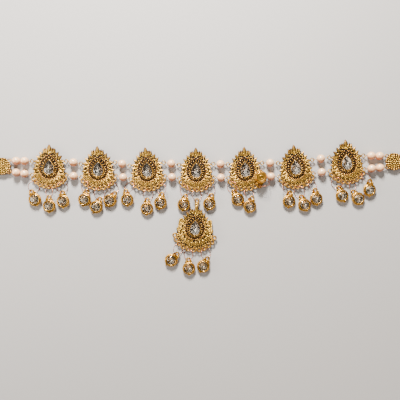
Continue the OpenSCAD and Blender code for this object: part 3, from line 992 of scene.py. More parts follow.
class Wire(GeometryTree):
    """Draws round wire along a closed or open path."""

    def __init__(self) -> None:
        """Make the tree."""
        inputs = {"Radius": "NodeSocketFloat", "Sides": "NodeSocketInt", "Finish": "NodeSocketMaterial"}
        super().__init__("Wire", inputs)
        given = self.given.outputs
        path = self.node("GeometryNodeMeshToCurve", {}, {"Mesh": given["Geometry"]})
        sockets = {"Resolution": given["Sides"], "Radius": given["Radius"]}
        section = self.node("GeometryNodeCurvePrimitiveCircle", {"mode": "RADIUS"}, sockets)
        sockets = {"Curve": path.outputs[0], "Profile Curve": section.outputs[0], "Fill Caps": True}
        wire = self.node("GeometryNodeCurveToMesh", {}, sockets)
        self.close(wire.outputs[0])

    def along(self, path: Sequence[Vector], radius: float, sides: int, closed: bool = True) -> Patch:
        """Return wire along a path.

        Args:
            path: Middle line of the wire.
            radius: Radius of the wire.
            sides: Number of its sides.
            closed: Whether the path runs back to its start.

        Returns:
            The wire, with even wear and painted shading.
        """
        line = bpy.data.meshes.new("line")
        count = len(path)
        edges = [(k, (k + 1) % count) for k in range(count if closed else count - 1)]
        line.from_pydata([p * MM for p in path], edges, [])
        return self.run(line, {"Radius": radius * MM, "Sides": sides, "Finish": None}).worn_and_shaded(0.85, 0.7)


class Value:
    """A number socket of a material's tree that takes part in Python expressions."""

    def __init__(self, graph: "Graph", socket: bpy.types.NodeSocket) -> None:
        """Wrap an output socket."""
        self.graph = graph
        self.socket = socket

    def _math(self, operation: str, first: object, second: object) -> "Value":
        """Add a Math node for one operation."""
        return self.graph.value("ShaderNodeMath", {"operation": operation}, {0: first, 1: second})

    def __add__(self, other: object) -> "Value":
        """Add."""
        return self._math("ADD", self, other)

    __radd__ = __add__

    def __sub__(self, other: object) -> "Value":
        """Subtract."""
        return self._math("SUBTRACT", self, other)

    def __rsub__(self, other: object) -> "Value":
        """Subtract from a number."""
        return self._math("SUBTRACT", other, self)

    def __mul__(self, other: object) -> "Value":
        """Multiply."""
        return self._math("MULTIPLY", self, other)

    __rmul__ = __mul__


class Graph(NodeTree):
    """The node tree of a material or a world."""

    def __init__(self, owner: bpy.types.Material | bpy.types.World) -> None:
        """Empty the owner's tree.

        Args:
            owner: The material or world whose tree it is.
        """
        owner.use_nodes = True
        super().__init__(owner.node_tree)
        self.tree.nodes.clear()

    def value(self, kind: str, settings: dict[str, object], sockets: Sockets, out: str | int = 0) -> Value:
        """Add a node and return one of its outputs, ready for expressions."""
        return Value(self, self.node(kind, settings, sockets).outputs[out])

    def attribute(self, name: str) -> Value:
        """Return an attribute of the mesh."""
        return self.value("ShaderNodeAttribute", {"attribute_name": name}, {}, "Fac")

    def noise(self, scale: float, detail: float = 3.0) -> Value:
        """Return noise over the object's own coordinates, with a scale per metre."""
        place = self.node("ShaderNodeTexCoord", {}, {}).outputs["Object"]
        return self.value("ShaderNodeTexNoise", {}, {"Vector": place, "Scale": scale, "Detail": detail})

    def ramp(self, value: Value, stops: Sequence[tuple[float, Colour]]) -> bpy.types.NodeSocket:
        """Return the colours of a ramp."""
        return self.node("ShaderNodeValToRGB", {"stops": stops}, {"Fac": value}).outputs[0]

    def mix(self, share: Value, first: object, second: object) -> bpy.types.NodeSocket:
        """Return a mix of two colours.

        Args:
            share: Share of the second colour.
            first: The first colour, or its socket.
            second: The second colour, or its socket.

        Returns:
            The socket of the mixed colour.
        """
        colours = [(*c, 1.0) if isinstance(c, tuple) else c for c in (first, second)]
        sockets = {0: share, 6: colours[0], 7: colours[1]}
        return self.node("ShaderNodeMix", {"data_type": "RGBA"}, sockets).outputs[2]

    def bump(self, height: Value, strength: float, distance: float) -> bpy.types.NodeSocket:
        """Return the normal of a bumped surface."""
        sockets = {"Strength": strength, "Distance": distance, "Height": height}
        return self.node("ShaderNodeBump", {}, sockets).outputs[0]

    def surface(self, sockets: Sockets) -> None:
        """End the tree in a Principled surface."""
        body = self.node("ShaderNodeBsdfPrincipled", {}, sockets)
        self.node("ShaderNodeOutputMaterial", {}, {"Surface": body.outputs[0]})


@dataclass(frozen=True)
class Finish:
    """The look of a surface."""

    name: str

    def sockets(self, graph: Graph) -> Sockets:
        """Return what goes into the inputs of its Principled surface."""
        raise NotImplementedError

    def material(self) -> bpy.types.Material:
        """Return the finish as a material.

        Returns:
            The material.
        """
        material = bpy.data.materials.new(self.name)
        graph = Graph(material)
        graph.surface(self.sockets(graph))
        return material


@dataclass(frozen=True)
class Gold(Finish):
    """Gold whose recesses are darkened by patina and painted shade, whose edges are lightened by rubbing
    and a painted highlight, and whose bright parts carry a painted pinkish highlight.
    """

    recess: Colour
    body: Colour
    edge: Colour
    painted_pink_highlight: Colour
    roughness: float = 0.3
    grain: float = 700.0
    patchiness: float = 0.36
    painted_shade: float = 0.22

    def sockets(self, graph: Graph) -> Sockets:
        """Return what goes into the inputs of its Principled surface.

        Args:
            graph: The material's tree.

        Returns:
            Values and sockets, each by the name of its input.
        """
        wear = graph.attribute("wear")
        patina = graph.noise(self.grain)
        fine = graph.noise(self.grain * 4, 2.0)
        # Wear and patina noise; the ramp darkens recesses with patina and painted shade and lightens rubbed
        # tops with a painted highlight.
        worn_and_shaded = wear + (patina - 0.5) * self.patchiness
        shadow = tuple(self.painted_shade * c for c in self.body)
        stops = ((0.08, self.recess), (0.3, shadow), (0.55, self.body), (1.0, self.edge))
        yellow = graph.ramp(worn_and_shaded, stops)
        # Painted pinkish highlight, mixed in most where the gold is rubbed bright.
        colour = graph.mix(graph.attribute("tone") * (worn_and_shaded * 0.8 + 0.2), yellow, self.painted_pink_highlight)
        return {
            "Base Color": colour, "Metallic": 0.65 + wear * 0.35,
            "Roughness": self.roughness + 0.22 - worn_and_shaded * 0.2,
            "Normal": graph.bump(fine + patina * 2.0, 0.4, 0.00016),
        }


@dataclass(frozen=True)
class Pearl(Finish):
    """Nacre under a thin clear coat, with painted peach shade at its rim and painted shade on its
    underside.
    """

    body: Colour
    painted_rim_shade: Colour
    painted_shade: Colour

    def sockets(self, graph: Graph) -> Sockets:
        """Return what goes into the inputs of its Principled surface.

        Args:
            graph: The material's tree.

        Returns:
            Values and sockets, each by the name of its input.
        """
        # Painted peach shade towards the rim, by the facing angle.
        rim = graph.value("ShaderNodeLayerWeight", {}, {"Blend": 0.35}, "Facing")
        cloud = graph.noise(260.0)
        body = graph.mix(rim * 0.8 + (cloud - 0.5) * 0.3, self.body, self.painted_rim_shade)
        # Painted shade on the side away from the key light, from the tone attribute.
        return {
            "Base Color": graph.mix(graph.attribute("tone"), body, self.painted_shade),
            "Roughness": 0.24 + cloud * 0.08, "Specular IOR Level": 0.6,
            "Coat Weight": 1.0, "Coat Roughness": 0.2, "Subsurface Weight": 0.08,
            "Subsurface Radius": (0.002, 0.0012, 0.0008), "Subsurface Scale": 0.5,
        }


@dataclass(frozen=True)
class Crystal(Finish):
    """Clear or tinted cut glass."""

    tint: Colour

    def sockets(self, graph: Graph) -> Sockets:
        """Return what goes into the inputs of its Principled surface.

        Args:
            graph: The material's tree.

        Returns:
            Values and sockets, each by the name of its input.
        """
        streak = graph.noise(420.0, 1.0)
        pale = tuple(0.5 + 0.5 * c for c in self.tint)
        return {
            "Base Color": graph.mix(streak, self.tint, pale), "Roughness": streak * 0.02,
            "Transmission Weight": 1.0, "IOR": 1.56,
        }


@dataclass(frozen=True)
class Foil(Finish):
    """The bright foil under a stone."""

    light: Colour
    dark: Colour
    roughness: float

    def sockets(self, graph: Graph) -> Sockets:
        """Return what goes into the inputs of its Principled surface."""
        spots = graph.noise(330.0, 2.0)
        return {
            "Base Color": graph.mix(spots, self.dark, self.light), "Metallic": 1.0,
            "Roughness": self.roughness + spots * 0.08,
        }


@dataclass(frozen=True)
class Paper(Finish):
    """The plain floor."""

    colour: Colour

    def sockets(self, graph: Graph) -> Sockets:
        """Return what goes into the inputs of its Principled surface.

        Args:
            graph: The material's tree.

        Returns:
            Values and sockets, each by the name of its input.
        """
        fibre = graph.noise(900.0)
        dim = tuple(0.96 * c for c in self.colour)
        return {"Base Color": graph.mix(fibre, dim, self.colour), "Roughness": 0.9}


@dataclass
class Workshop:
    """What every piece is made with: the belt's sizes, the trees and the finishes."""

    belt: Belt = field(default_factory=Belt)
    scatter: Scatter = field(default_factory=Scatter)
    wire: Wire = field(default_factory=Wire)
    finishes: dict[Slot, list[bpy.types.Material]] = field(default_factory=dict)

    def __post_init__(self) -> None:
        """Make the materials."""
        # Gold colours: recess is dark patina with painted shade, edge is rubbed gold with a painted
        # highlight.
        recess, body, edge = (0.008, 0.003, 0.0004), (0.27, 0.142, 0.02), (0.82, 0.5, 0.09)
        # Colour of the painted pinkish highlight.
        painted_pink = (0.5, 0.19, 0.06)
        bright = (0.03, 0.014, 0.002), (0.46, 0.23, 0.01), (0.9, 0.52, 0.06)
        copper = (0.4, 0.13, 0.05), (0.6, 0.22, 0.1), (0.55, 0.19, 0.1)
        golds = {
            Slot.PLAQUE: Gold("antique_gold", recess, body, edge, painted_pink),
            Slot.CUP: Gold("bright_gold", *bright, painted_pink, 0.2),
            Slot.RING: Gold("rosy_wire", recess, *copper, 0.2),
            Slot.PIN: Gold("pin_gold", recess, (0.55, 0.26, 0.05), edge, painted_pink, 0.22),
            Slot.FLOWER: Gold("flower_gold", recess, body, edge, painted_pink),
            Slot.CHAIN: Gold("chain_gold", (0.06, 0.03, 0.005), (0.5, 0.25, 0.04), edge, painted_pink, 0.22),
        }
        self.finishes = {slot: [gold.material()] for slot, gold in golds.items()}
        girdle = Foil("girdle_foil", (0.95, 0.82, 0.7), (0.62, 0.48, 0.38), 0.2).material()
        self.finishes[Slot.CLEAR] = [
            Crystal("clear_glass", (0.99, 0.98, 0.95)).material(),
            Foil("silver_foil", (1.0, 0.97, 0.92), (0.8, 0.72, 0.6), 0.13).material(),
            girdle,
        ]
        self.finishes[Slot.TINTED] = [
            Crystal("tinted_glass", (0.99, 0.97, 0.9)).material(),
            Foil("amber_foil", (1.0, 0.97, 0.88), (0.95, 0.84, 0.64), 0.12).material(),
            girdle,
        ]
        # Nacre body, painted rim shade and painted underside shade.
        self.finishes[Slot.PEARL] = [
            Pearl("nacre", (0.96, 0.62, 0.34), (0.85, 0.36, 0.12), (0.42, 0.1, 0.015)).material()
        ]

    def dress(self, obj: bpy.types.Object, slot: Slot) -> None:
        """Give an object the materials of a slot's finish.

        Args:
            obj: The object.
            slot: The slot of the finish.
        """
        obj.data.materials.clear()
        for material in self.finishes[slot]:
            obj.data.materials.append(material)

    def piece(
        self, name: str, patch: Patch, slot: Slot, *nodes: str, place: Matrix | None = None,
        smooth: bool = True,
    ) -> bpy.types.Object:
        """Put a patch in the place of CAD nodes.

        Args:
            name: Name of the piece.
            patch: Its points and faces.
            slot: The slot of its finish.
            *nodes: The nodes that it replaces.
            place: Where it goes, in metres, if it isn't in place yet.
            smooth: Whether its faces are shaded smooth.

        Returns:
            The new object.
        """
        mesh = patch.mesh(name, smooth)
        if place is not None:
            mesh.transform(place)
        obj = linked(name, mesh)
        self.dress(obj, slot)
        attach(obj, "root")
        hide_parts(*nodes)
        LOG.info("%s: %d faces", name, len(mesh.polygons))
        return obj


@dataclass
class Part:
    """A part of the belt that is made in the workshop."""

    shop: Workshop

    @property
    def belt(self) -> Belt:
        """The belt's sizes."""
        return self.shop.belt


@dataclass(frozen=True)
class Spike:
    """A leaf of a plaque's upper edge: its turn from the tip, and its reach as a share of the tip's."""

    turn: float
    share: float


SPIKES = (
    Spike(17, 0.86), Spike(31.5, 0.79), Spike(47.5, 0.75),
    Spike(63, 0.68), Spike(79, 0.68), Spike(97, 0.74),
)


@dataclass
class Plaque(Part):
    """A pierced pear-shaped plaque with its cast relief."""

    grow: float = 1.0
    has_lugs: bool = True
    leaf_w: float = 3.4
    leaf_l: float = 6.6
    pore_r: float = 0.65
    pore_reach: float = 1.6
    pore_share: float = 0.8
    grain_r: float = 0.62
    grain_reach: float = 0.6
    grain_share: float = 0.87
    gap_more: float = 0.12
    hole_more: float = 0.02
    oval_end: float = 105.0
    oval_step: float = 7.5
    shoulder_r: float = 2.4
    curl_back: float = 5.0
    sink: float = 0.05

    @property
    def crown_y(self) -> float:
        """Height of the tip of its crown."""
        belt = self.belt
        return belt.tip_y if self.has_lugs else belt.pendant_reach - belt.loop_r - 2

    @property
    def relief_z(self) -> float:
        """Height at which the relief stands, a little under the plate's face."""
        return self.belt.plate_top - self.sink

    @property
    def holes_inside(self) -> list[float]:
        """Counts of the border holes from the middle one, without the last on each side."""
        return list(range(1 - self.belt.border_last, self.belt.border_last))

    @property
    def halfway(self) -> list[float]:
        """Counts of the middles between the border holes."""
        return [k + 0.5 - self.belt.border_last for k in range(2 * self.belt.border_last)]

    def inside(self, counts: Iterable[float], share: float) -> Outline:
        """Return the points at a share of the way from the origin to border holes."""
        return [share * self.belt.border_hole(k, self.grow) for k in counts]

    def beyond(self, k: float, reach: float) -> Vector:
        """Return the point at a reach beyond the spoke gaps, on the line of spoke k."""
        return self.belt.round_cup(self.belt.spoke_turn(k), self.belt.spoke_l + reach)

    def scattered(self, shape: Patch, points: Iterable[Vector], unevenness: float) -> Patch:
        """Return copies of a shape on the plate, at flat points."""
        return self.shop.scatter.place(shape, [Stamp.flat(p, self.relief_z) for p in points], unevenness)

    def on_spikes(self, back: float, z: float) -> list[Stamp]:
        """Return stamps on the spikes of both sides, at a distance back from the tips."""
        return [
            Stamp.flat(turned(Vector((0, spike.share * self.belt.tip_y - back)), turn), z, turn)
            for spike in SPIKES
            for turn in (side * spike.turn for side in SIDES)
        ]

    def fan(self, counts: Sequence[float], share: float, rise: float) -> list[Stamp]:
        """Return stamps that fan out inside the border.

        Args:
            counts: Border holes, counted from the middle one.
            share: Share of the way from the origin to them.
            rise: Distance from there back towards the middle.

        Returns:
            The stamps, turned like the border.
        """
        stamps = []
        for k, p in zip(counts, self.inside(counts, share)):
            turn = k * self.belt.border_step
            stamps.append(Stamp.flat(p + turned(Vector((0, rise)), turn), self.relief_z, turn))
        return stamps

    def leaf_line(self, w: float, l: float, turn: float, reach: float, shift: float = 0.0) -> Outline:
        """Return the outline of a leaf whose tip is at a reach, turned from the plaque's tip."""
        line = [Vector((p.x, p.y + reach - l / 2)) for p in pear(w, l, LEAF_POINT, 16)]
        return [turned(p, turn) + Vector((shift, 0)) for p in line]

    def outlines(self) -> list[Outline]:
        """Return the outlines that make up its body.

        Returns:
            The outlines, anticlockwise.
        """
        belt = self.belt
        inset = belt.loop_r - 0.45
        a, b = (self.grow * half - inset for half in belt.border)
        turns = [self.oval_step * k - self.oval_end for k in range(29)]
        oval = [Vector((a * sind(t), -self.grow * belt.border_drop - b * cosd(t))) for t in turns]
        lines = [pear(*belt.body, 0.3, 64)]
        if not self.has_lugs:
            shoulder = belt.top_lug + Vector((-0.5, 0.9))
            oval += [shoulder, mirrored(shoulder, -1)]
            middle = shoulder - Vector((self.shoulder_r, 0.3))
            lines += [circle(mirrored(middle, side), self.shoulder_r, 32) for side in (1, -1)]
        lines.append(oval)
        for spike in SPIKES:
            reach = spike.share * belt.tip_y
            lines += [self.leaf_line(self.leaf_w, self.leaf_l, side * spike.turn, reach) for side in SIDES]
        lines.append(self.leaf_line(4.8, 9, 0, self.crown_y))
        lines += [self.leaf_line(3, 7, -6 * side, self.crown_y - 3.2, 1.7 * side) for side in SIDES]
        return lines

    def gap(self, k: float, side: int) -> Outline:
        """Return the outline of the spoke gap on the line of spoke k, anticlockwise.

        Args:
            k: The spoke, counted from the tip.
            side: -1 for the left and 1 for the right.

        Returns:
            The outline.
        """
        belt = self.belt
        t = belt.spoke_turn(k)
        start = belt.round_cup(t)
        w, l = belt.spoke_w / 2 + self.gap_more, belt.spoke_l
        half = [(w, 0), (w, l - w), (0.7 * w, l - 0.3 * w)]
        slit = [(-w, 0), *half, (0, l), *((-x, y) for x, y in half[:0:-1])]
        line = [mirrored(start + turned(Vector(p), -t), side) for p in slit]
        return line if side > 0 else line[::-1]

    def holes(self) -> list[Outline]:
        """Return the outlines that are cut through its body.

        Returns:
            The outlines, anticlockwise.
        """
        belt = self.belt
        size = belt.cup_size
        lines = [pear(size.x - 0.2, size.y - 0.2, STONE_POINT, CUP_SIDES)]
        half = belt.spokes // 2
        for side in SIDES:
            lines += [self.gap(k + 0.5, side) for k in range(half)]
            pores = [mirrored(self.beyond(k, self.pore_reach), side) for k in range(1, half)]
            lines += [circle(p, self.pore_r, 14) for p in pores]
        lines += [circle(p, self.pore_r, 14) for p in self.inside(self.holes_inside, self.pore_share)]
        for k in range(-belt.border_last, belt.border_last + 1):
            lines.append(circle(belt.border_hole(k, self.grow), belt.loop_hole_r + self.hole_more, 26))
        if self.has_lugs:
            lines += [circle(p, belt.lug_hole_r + self.hole_more, 26) for p in both([belt.top_lug])]
        return lines

    def cup(self) -> Patch:
        """Return the cup of its stone, with a thin rim.

        Returns:
            The cup, with its foot on the ground.
        """
        belt = self.belt
        size = belt.cup_size
        foot, lip = 1.4, 2 * belt.cup_wall
        rows = (
            (lip, belt.cup_floor, 0.1), (lip, belt.cup_top - 0.25, 0.4), (lip - 0.25, belt.cup_top, 0.9),
            (0.55, belt.cup_top, 0.9), (0.2, belt.cup_top - 0.25, 0.2), (0.0, belt.cup_top - 0.5, 0.0),
            (0.0, 0.6, 0.2), (foot, 0.6, 0.1), (foot, 0.0, 0.1),
        )
        lines = [
            [above(p, z) for p in pear(size.x - d, size.y - d, STONE_POINT, CUP_SIDES)] for d, z, _ in rows
        ]
        patch = grid(lines, [w for _, _, w in rows], 0.35, False, (False, True))
        patch.faces.append(tuple(range(CUP_SIDES)))
        return patch

    def spokes(self) -> Patch:
        """Return the ribs between its spoke gaps, from the cup to the ring of grains.

        Returns:
            The ribs.
        """
        belt = self.belt
        patch = Patch()
        half = belt.spokes // 2
        profile = ((-0.5, 0.4), (0.9, 0.12), (2.2, 0.1))
        for k in range(-half + 1, half + 1):
            t = belt.spoke_turn(abs(k))
            side = -1 if k < 0 else 1
            path = [above(mirrored(belt.round_cup(t, r), side), belt.plate_top + h) for r, h in profile]
            patch.join(tube(path, (0.24, 0.25, 0.25), 6, 0.45, 0.9))
        return patch

    def grains(self) -> Patch:
        """Return its grains: round the spoke gaps and along the border.

        Returns:
            The grains.
        """
        ring = both(self.beyond(k + 0.5, self.grain_reach) for k in range(self.belt.spokes // 2))
        patch = self.scattered(granule(self.grain_r, 0.5, 0.8), ring, 0.08)
        border = self.inside(self.halfway, self.grain_share)
        return patch.join(self.scattered(granule(self.grain_r, 0.5, 0.3), border, 0.1))

    def leaves(self) -> Patch:
        """Return its leaves: the spikes of its upper edge, the scrolls of its lower part and its crown.

        Returns:
            The leaves.
        """
        z = self.relief_z
        place = self.shop.scatter.place
        patch = place(leaf_dome(2.5, 4.4, 0.5, 0.0, 1.0), self.on_spikes(0.25, z), 0.03)
        patch.join(place(leaf_dome(2.1, 3.4, 0.5, 0.1, 0.4), self.fan(self.halfway, 0.78, 2.3), 0.05))
        tip = Matrix.Translation((0, self.crown_y - 0.3, z))
        patch.join(leaf_dome(3.6, 6.8, 0.55, 0.0, 1.0, 18), tip)
        for side in SIDES:
            lean = Matrix.Rotation(radians(-14 * side), 4, "Z")
            foot = Matrix.Translation((3.1 * side, self.crown_y - 3.9, z))
            patch.join(leaf_dome(2.4, 5.2, 0.5, 0.0, 0.7), foot @ lean)
        return patch

    def rings(self) -> Patch:
        """Return its ring-shaped relief: loops, lugs and the collars of its small holes.

        Returns:
            The rings.
        """
        belt = self.belt
        lug = torus(belt.lug_mid, belt.lug_r - belt.lug_mid, 0.44, 26, 10, 0.2)
        loop = belt.loop()
        patch = Patch()
        for k in range(-belt.border_last, belt.border_last + 1):
            at_end = self.has_lugs and abs(k) == belt.border_last
            place = flat_place(belt.border_hole(k, self.grow), 0, belt.plate_mid)
            patch.join(lug if at_end else loop, place)
        if self.has_lugs:
            for p in both([belt.top_lug]):
                patch.join(lug, flat_place(p, 0, belt.plate_mid))
        pores = both(self.beyond(k, self.pore_reach) for k in range(1, belt.spokes // 2))
        pores += self.inside(self.holes_inside, self.pore_share)
        collars = [Stamp.flat(p, belt.plate_top) for p in pores]
        return patch.join(self.shop.scatter.place(torus(0.88, 0.24, 0.26, 14, 6, 0.15), collars))

    def rosette(self, r: float) -> Patch:
        """Return a small flower of grains inside a ring.

        Args:
            r: Radius to the middle of the ring's wire.

        Returns:
            The flower on the level of the origin.
        """
        patch = torus(r, 0.24, 0.3, 20, 6, 0.1).join(granule(0.42 * r, 0.6, 0.0, 12))
        petals = [Stamp.flat(turned(Vector((0.66 * r, 0)), t), 0) for t in steps(6)]
        return patch.join(self.shop.scatter.place(granule(0.24 * r, 0.45, 0.0, 8), petals))

    def curl(self, side: int) -> Patch:
        """Return a small wire scroll that turns to one side.

        Args:
            side: -1 for the left and 1 for the right.

        Returns:
            The scroll on the level of the origin.
        """
        path = []
        for k in range(9):
            t = 35 * k - 90
            r = 0.85 - 0.075 * k
            path.append(Vector((side * (0.75 + r * cosd(t)), r * sind(t), 0.12)))
        return self.shop.wire.along(path, 0.2, 6, False).worn_and_shaded(0.95, 0.25)

    def scrolls(self) -> Patch:
        """Return the fine relief: curls at the feet of the spikes, and petals and grains between them.

        Returns:
            The relief.
        """
        belt = self.belt
        place = self.shop.scatter.place
        patch = Patch()
        for side in SIDES:
            patch.join(place(self.curl(side), self.on_spikes(self.curl_back, belt.plate_top)))
        petals = self.fan(self.holes_inside, self.pore_share, 3.9)
        patch.join(place(leaf_dome(1.9, 2.9, 0.5, 0.0, 0.3, 12), petals, 0.04))
        pips = [Stamp.flat(p, belt.plate_mid + 0.3) for p in self.inside(self.halfway, 0.945)]
        patch.join(place(granule(0.55, 0.5, 0.4, 8), pips, 0.06))
        studs = []
        for one, other in zip(SPIKES, SPIKES[1:]):
            foot = Vector((0, 0.5 * (one.share + other.share) * belt.tip_y - 2.6))
            studs += [turned(foot, side * (one.turn + other.turn) / 2) for side in SIDES]
        patch.join(self.scattered(granule(0.5, 0.5, 0.2, 8), studs, 0.06))
        turns = [side * turn for turn in (110, 124) for side in SIDES]
        sides = [Stamp.flat(turned(Vector((0, 14.2)), turn), self.relief_z, turn) for turn in turns]
        return patch.join(place(leaf_dome(2.6, 4.4, 0.5, 0.0, 0.4), sides))

    def flanks(self) -> Patch:
        """Return the larger grains beside the cup, and the rosette under the crown.

        Returns:
            The grains and the rosette.
        """
        if self.has_lugs:
            row = [Vector((13.8 + 0.05 * n, -3.5 - 1.35 * n)) for n in range(4)]
            row += [Vector((12.9, -6.6)), Vector((13.1, 1.6))]
            patch = self.scattered(granule(0.72, 0.6, 0.15), both(row), 0.1)
        else:
            row = self.inside(self.halfway, 0.67)
            row += [Vector((x, y)) for x in (-14.9, 14.9) for y in (-3.2, -5.0, -6.8)]
            row += [Vector((x, y)) for x in (-16.3, 16.3) for y in (-7.2, -8.9)]
            patch = self.scattered(granule(1.0, 0.6, 0.1), row, 0.06)
            row = self.inside(self.holes_inside, 0.885)
            patch.join(self.scattered(granule(0.6, 0.55, 0.2, 8), row, 0.1))
        crown = Matrix.Translation((0, self.crown_y - 8.6, self.belt.plate_top))
        return patch.join(self.rosette(1.5), crown)

    def lugs(self) -> Patch:
        """Return the arms of its upper lugs, with a leaf on each.

        Returns:
            The arms and their leaves.
        """
        belt = self.belt
        patch = Patch()
        for side in SIDES:
            lug = mirrored(belt.top_lug, side)
            arm = [p + lug for p in self.leaf_line(3.8, 9, -side * 85, -0.7)]
            patch.join(plate([arm], [], belt.loop_low, belt.loop_top, 0.2))
            tip = mirrored(belt.top_lug - Vector((1.6, 0.2)), side)
            place = flat_place(tip, side * 95 - 180, belt.plate_mid + 0.35)
            patch.join(leaf_dome(3.0, 6.0, 0.6, 0.0, 0.2), place)
        return patch

    def shoulders(self) -> Patch:
        """Return the relief of the pendant's shoulders.

        Returns:
            The relief.
        """
        rosette = self.rosette(1.9)
        leaf = leaf_dome(2.6, 4.6, 0.55, 0.0, 0.3)
        leaves = (
            (14.9, -3.9, 172), (15.6, -0.6, 150), (12.4, 8.3, -20), (16.2, -5.2, 190), (13.2, -7.2, 160),
        )
        row = [Vector((15.35 + 0.13 * n, 5.3 - 1.4 * n)) for n in range(7)]
        row += [Vector((13.7, 6.4)) + turned(Vector((1.65, 0)), 34 * n) for n in range(6)]
        row += [Vector((13.6 + 0.12 * n, 1.0 - 1.35 * n)) for n in range(4)]
        patch = self.scattered(granule(0.82, 0.65, 0.1), both(row), 0.08)
        for side in SIDES:
            patch.join(rosette, Matrix.Translation((side * 13.4, 3.9, self.belt.plate_top)))
            for x, y, turn in leaves:
                patch.join(leaf, flat_place(Vector((side * x, y)), -side * turn, self.relief_z))
        return patch

    def bail(self) -> Patch:
        """Return the pendant's bail with its beaded stem.

        Returns:
            The bail, its neck and its beads.
        """
        belt = self.belt
        top = Vector((0, belt.pendant_reach))
        foot_y, neck_w = self.crown_y - 4, 0.9 * belt.loop_r
        neck = [(-1.5, foot_y), (1.5, foot_y), (neck_w, top.y), (-neck_w, top.y)]
        patch = belt.bail_plate(top, neck, 0.3)
        patch.join(belt.loop(), flat_place(top, 0, belt.plate_mid))
        for y, size in ((3.3, 1.4), (5.6, 1.6), (8.1, 1.8)):
            place = flat_place(top - Vector((0, y)), 0, belt.loop_top - 0.1)
            patch.join(granule(size, 0.8, 0.1, 14), place)
        return patch

    def build(self) -> Patch:
        """Return the whole plaque.

        Returns:
            The plaque round the origin.
        """
        patch = plate(self.outlines(), self.holes(), self.belt.plate_low, self.belt.plate_top, 0.3)
        makers = [self.cup, self.spokes, self.grains, self.leaves, self.rings, self.scrolls, self.flanks]
        makers += [self.lugs] if self.has_lugs else [self.bail, self.shoulders]
        for make in makers:
            patch.join(make())
        return patch

    def place(self, patch: Patch, i: int) -> None:
        """Put a copy of the built plaque in the place of its node.

        Args:
            patch: The built plaque.
            i: Number of the plaque, or PENDANT.
        """
        belt = self.belt
        name = "pendant" if i == PENDANT else f"plaque_{i + 1}"
        node = "pendant_plaque" if i == PENDANT else name
        place = flat_place(belt.plaque_place(i) * MM, belt.plaque_turn(i))
        self.shop.piece(f"cast_{name}", patch, Slot.PLAQUE, node, place=place)


@dataclass
class Stones(Part):
    """The cut stones, with a glass crown over a foil-backed pavilion."""

    shares: tuple[float, ...] = (0.52, 0.72, 0.88, 1.0, 1.0, 0.84, 0.5, 0.12)
    turned_rings: tuple[int, ...] = (1, 5, 6)
    girdle_ring: int = 3
    foil_ring: int = 5
    girdle_h: float = 0.3

    def heights(self) -> list[float]:
        """Return the height of each ring of facets, from the table down.

        Returns:
            The heights, highest first.
        """
        belt = self.belt
        g, crown, back = belt.girdle_z, belt.crown_h, belt.pavilion_h
        edge = g - self.girdle_h
        upper = [g + crown, g + 0.78 * crown, g + 0.45 * crown, g]
        return upper + [edge, edge - 0.2 * back, g - 0.68 * back, g - back]

    def stone(self, ring: Outline) -> tuple[Patch, list[int]]:
        """Return a stone.

        Args:
            ring: The outline of its girdle, anticlockwise, with an even number of points.

        Returns:
            The stone, and for each face GLASS, FOIL or GIRDLE, which is the darker foil at its edge.
        """
        n = len(ring)
        rows = []
        for r, (share, z) in enumerate(zip(self.shares, self.heights())):
            step = 0.5 if r in self.turned_rings else 0.0
            pairs = zip(ring, ring[1:] + ring[:1])
            rows.append([above(a.lerp(b, step) * share, z) for a, b in pairs])
        points = [p for row in rows for p in row]
        faces, looks = [tuple(range(n))], [GLASS]
        for r in range(len(rows) - 1):
            half = (r + 1 in self.turned_rings) != (r in self.turned_rings)
            look = GLASS if r < self.girdle_ring else GIRDLE if r < self.foil_ring else FOIL
            for k in range(n):
                a, b = r * n + k, r * n + (k + 1) % n
                c, d = (r + 1) * n + k, (r + 1) * n + (k + 1) % n
                if not half:
                    cells = [(a, c, d, b)]
                elif r + 1 in self.turned_rings:
                    cells = [(a, c, b), (b, c, d)]
                else:
                    cells = [(a, c, d), (a, d, b)]
                faces += cells
                looks += [look] * len(cells)
        faces.append(tuple(reversed(range((len(rows) - 1) * n, len(rows) * n))))
        looks.append(FOIL)
        return Patch().add(points, faces, [0.5] * len(points), [0.0] * len(points)), looks

    def put(self, node: str, patch: Patch, looks: Sequence[int], slot: Slot, place: Matrix | None) -> None:
        """Put flat-shaded stones with glass and foil faces in the place of a node."""
        obj = self.shop.piece(f"cut_{node}", patch, slot, node, place=place, smooth=False)
        obj.data.polygons.foreach_set("material_index", looks)

    def build(self) -> None:
        """Put every stone in the place of its node."""
        belt = self.belt
        patch, looks = self.stone(pear(belt.stone_w, belt.stone_h, STONE_POINT, 14))
        for i in range(PENDANT + 1):
            node = "pendant_stone" if i == PENDANT else f"pear_stone_{i + 1}"
            place = flat_place(belt.plaque_place(i) * MM, belt.plaque_turn(i))
            self.put(node, patch, looks, Slot.CLEAR, place)
        patch, looks = self.stone(circle(ORIGIN, belt.drop_stone_d / 2, 12))
        places = belt.drop_matrices()
        whole = Patch()
        for place in places:
            whole.join(patch, place)
        self.put("drop_stones", whole, looks * len(places), Slot.TINTED, None)


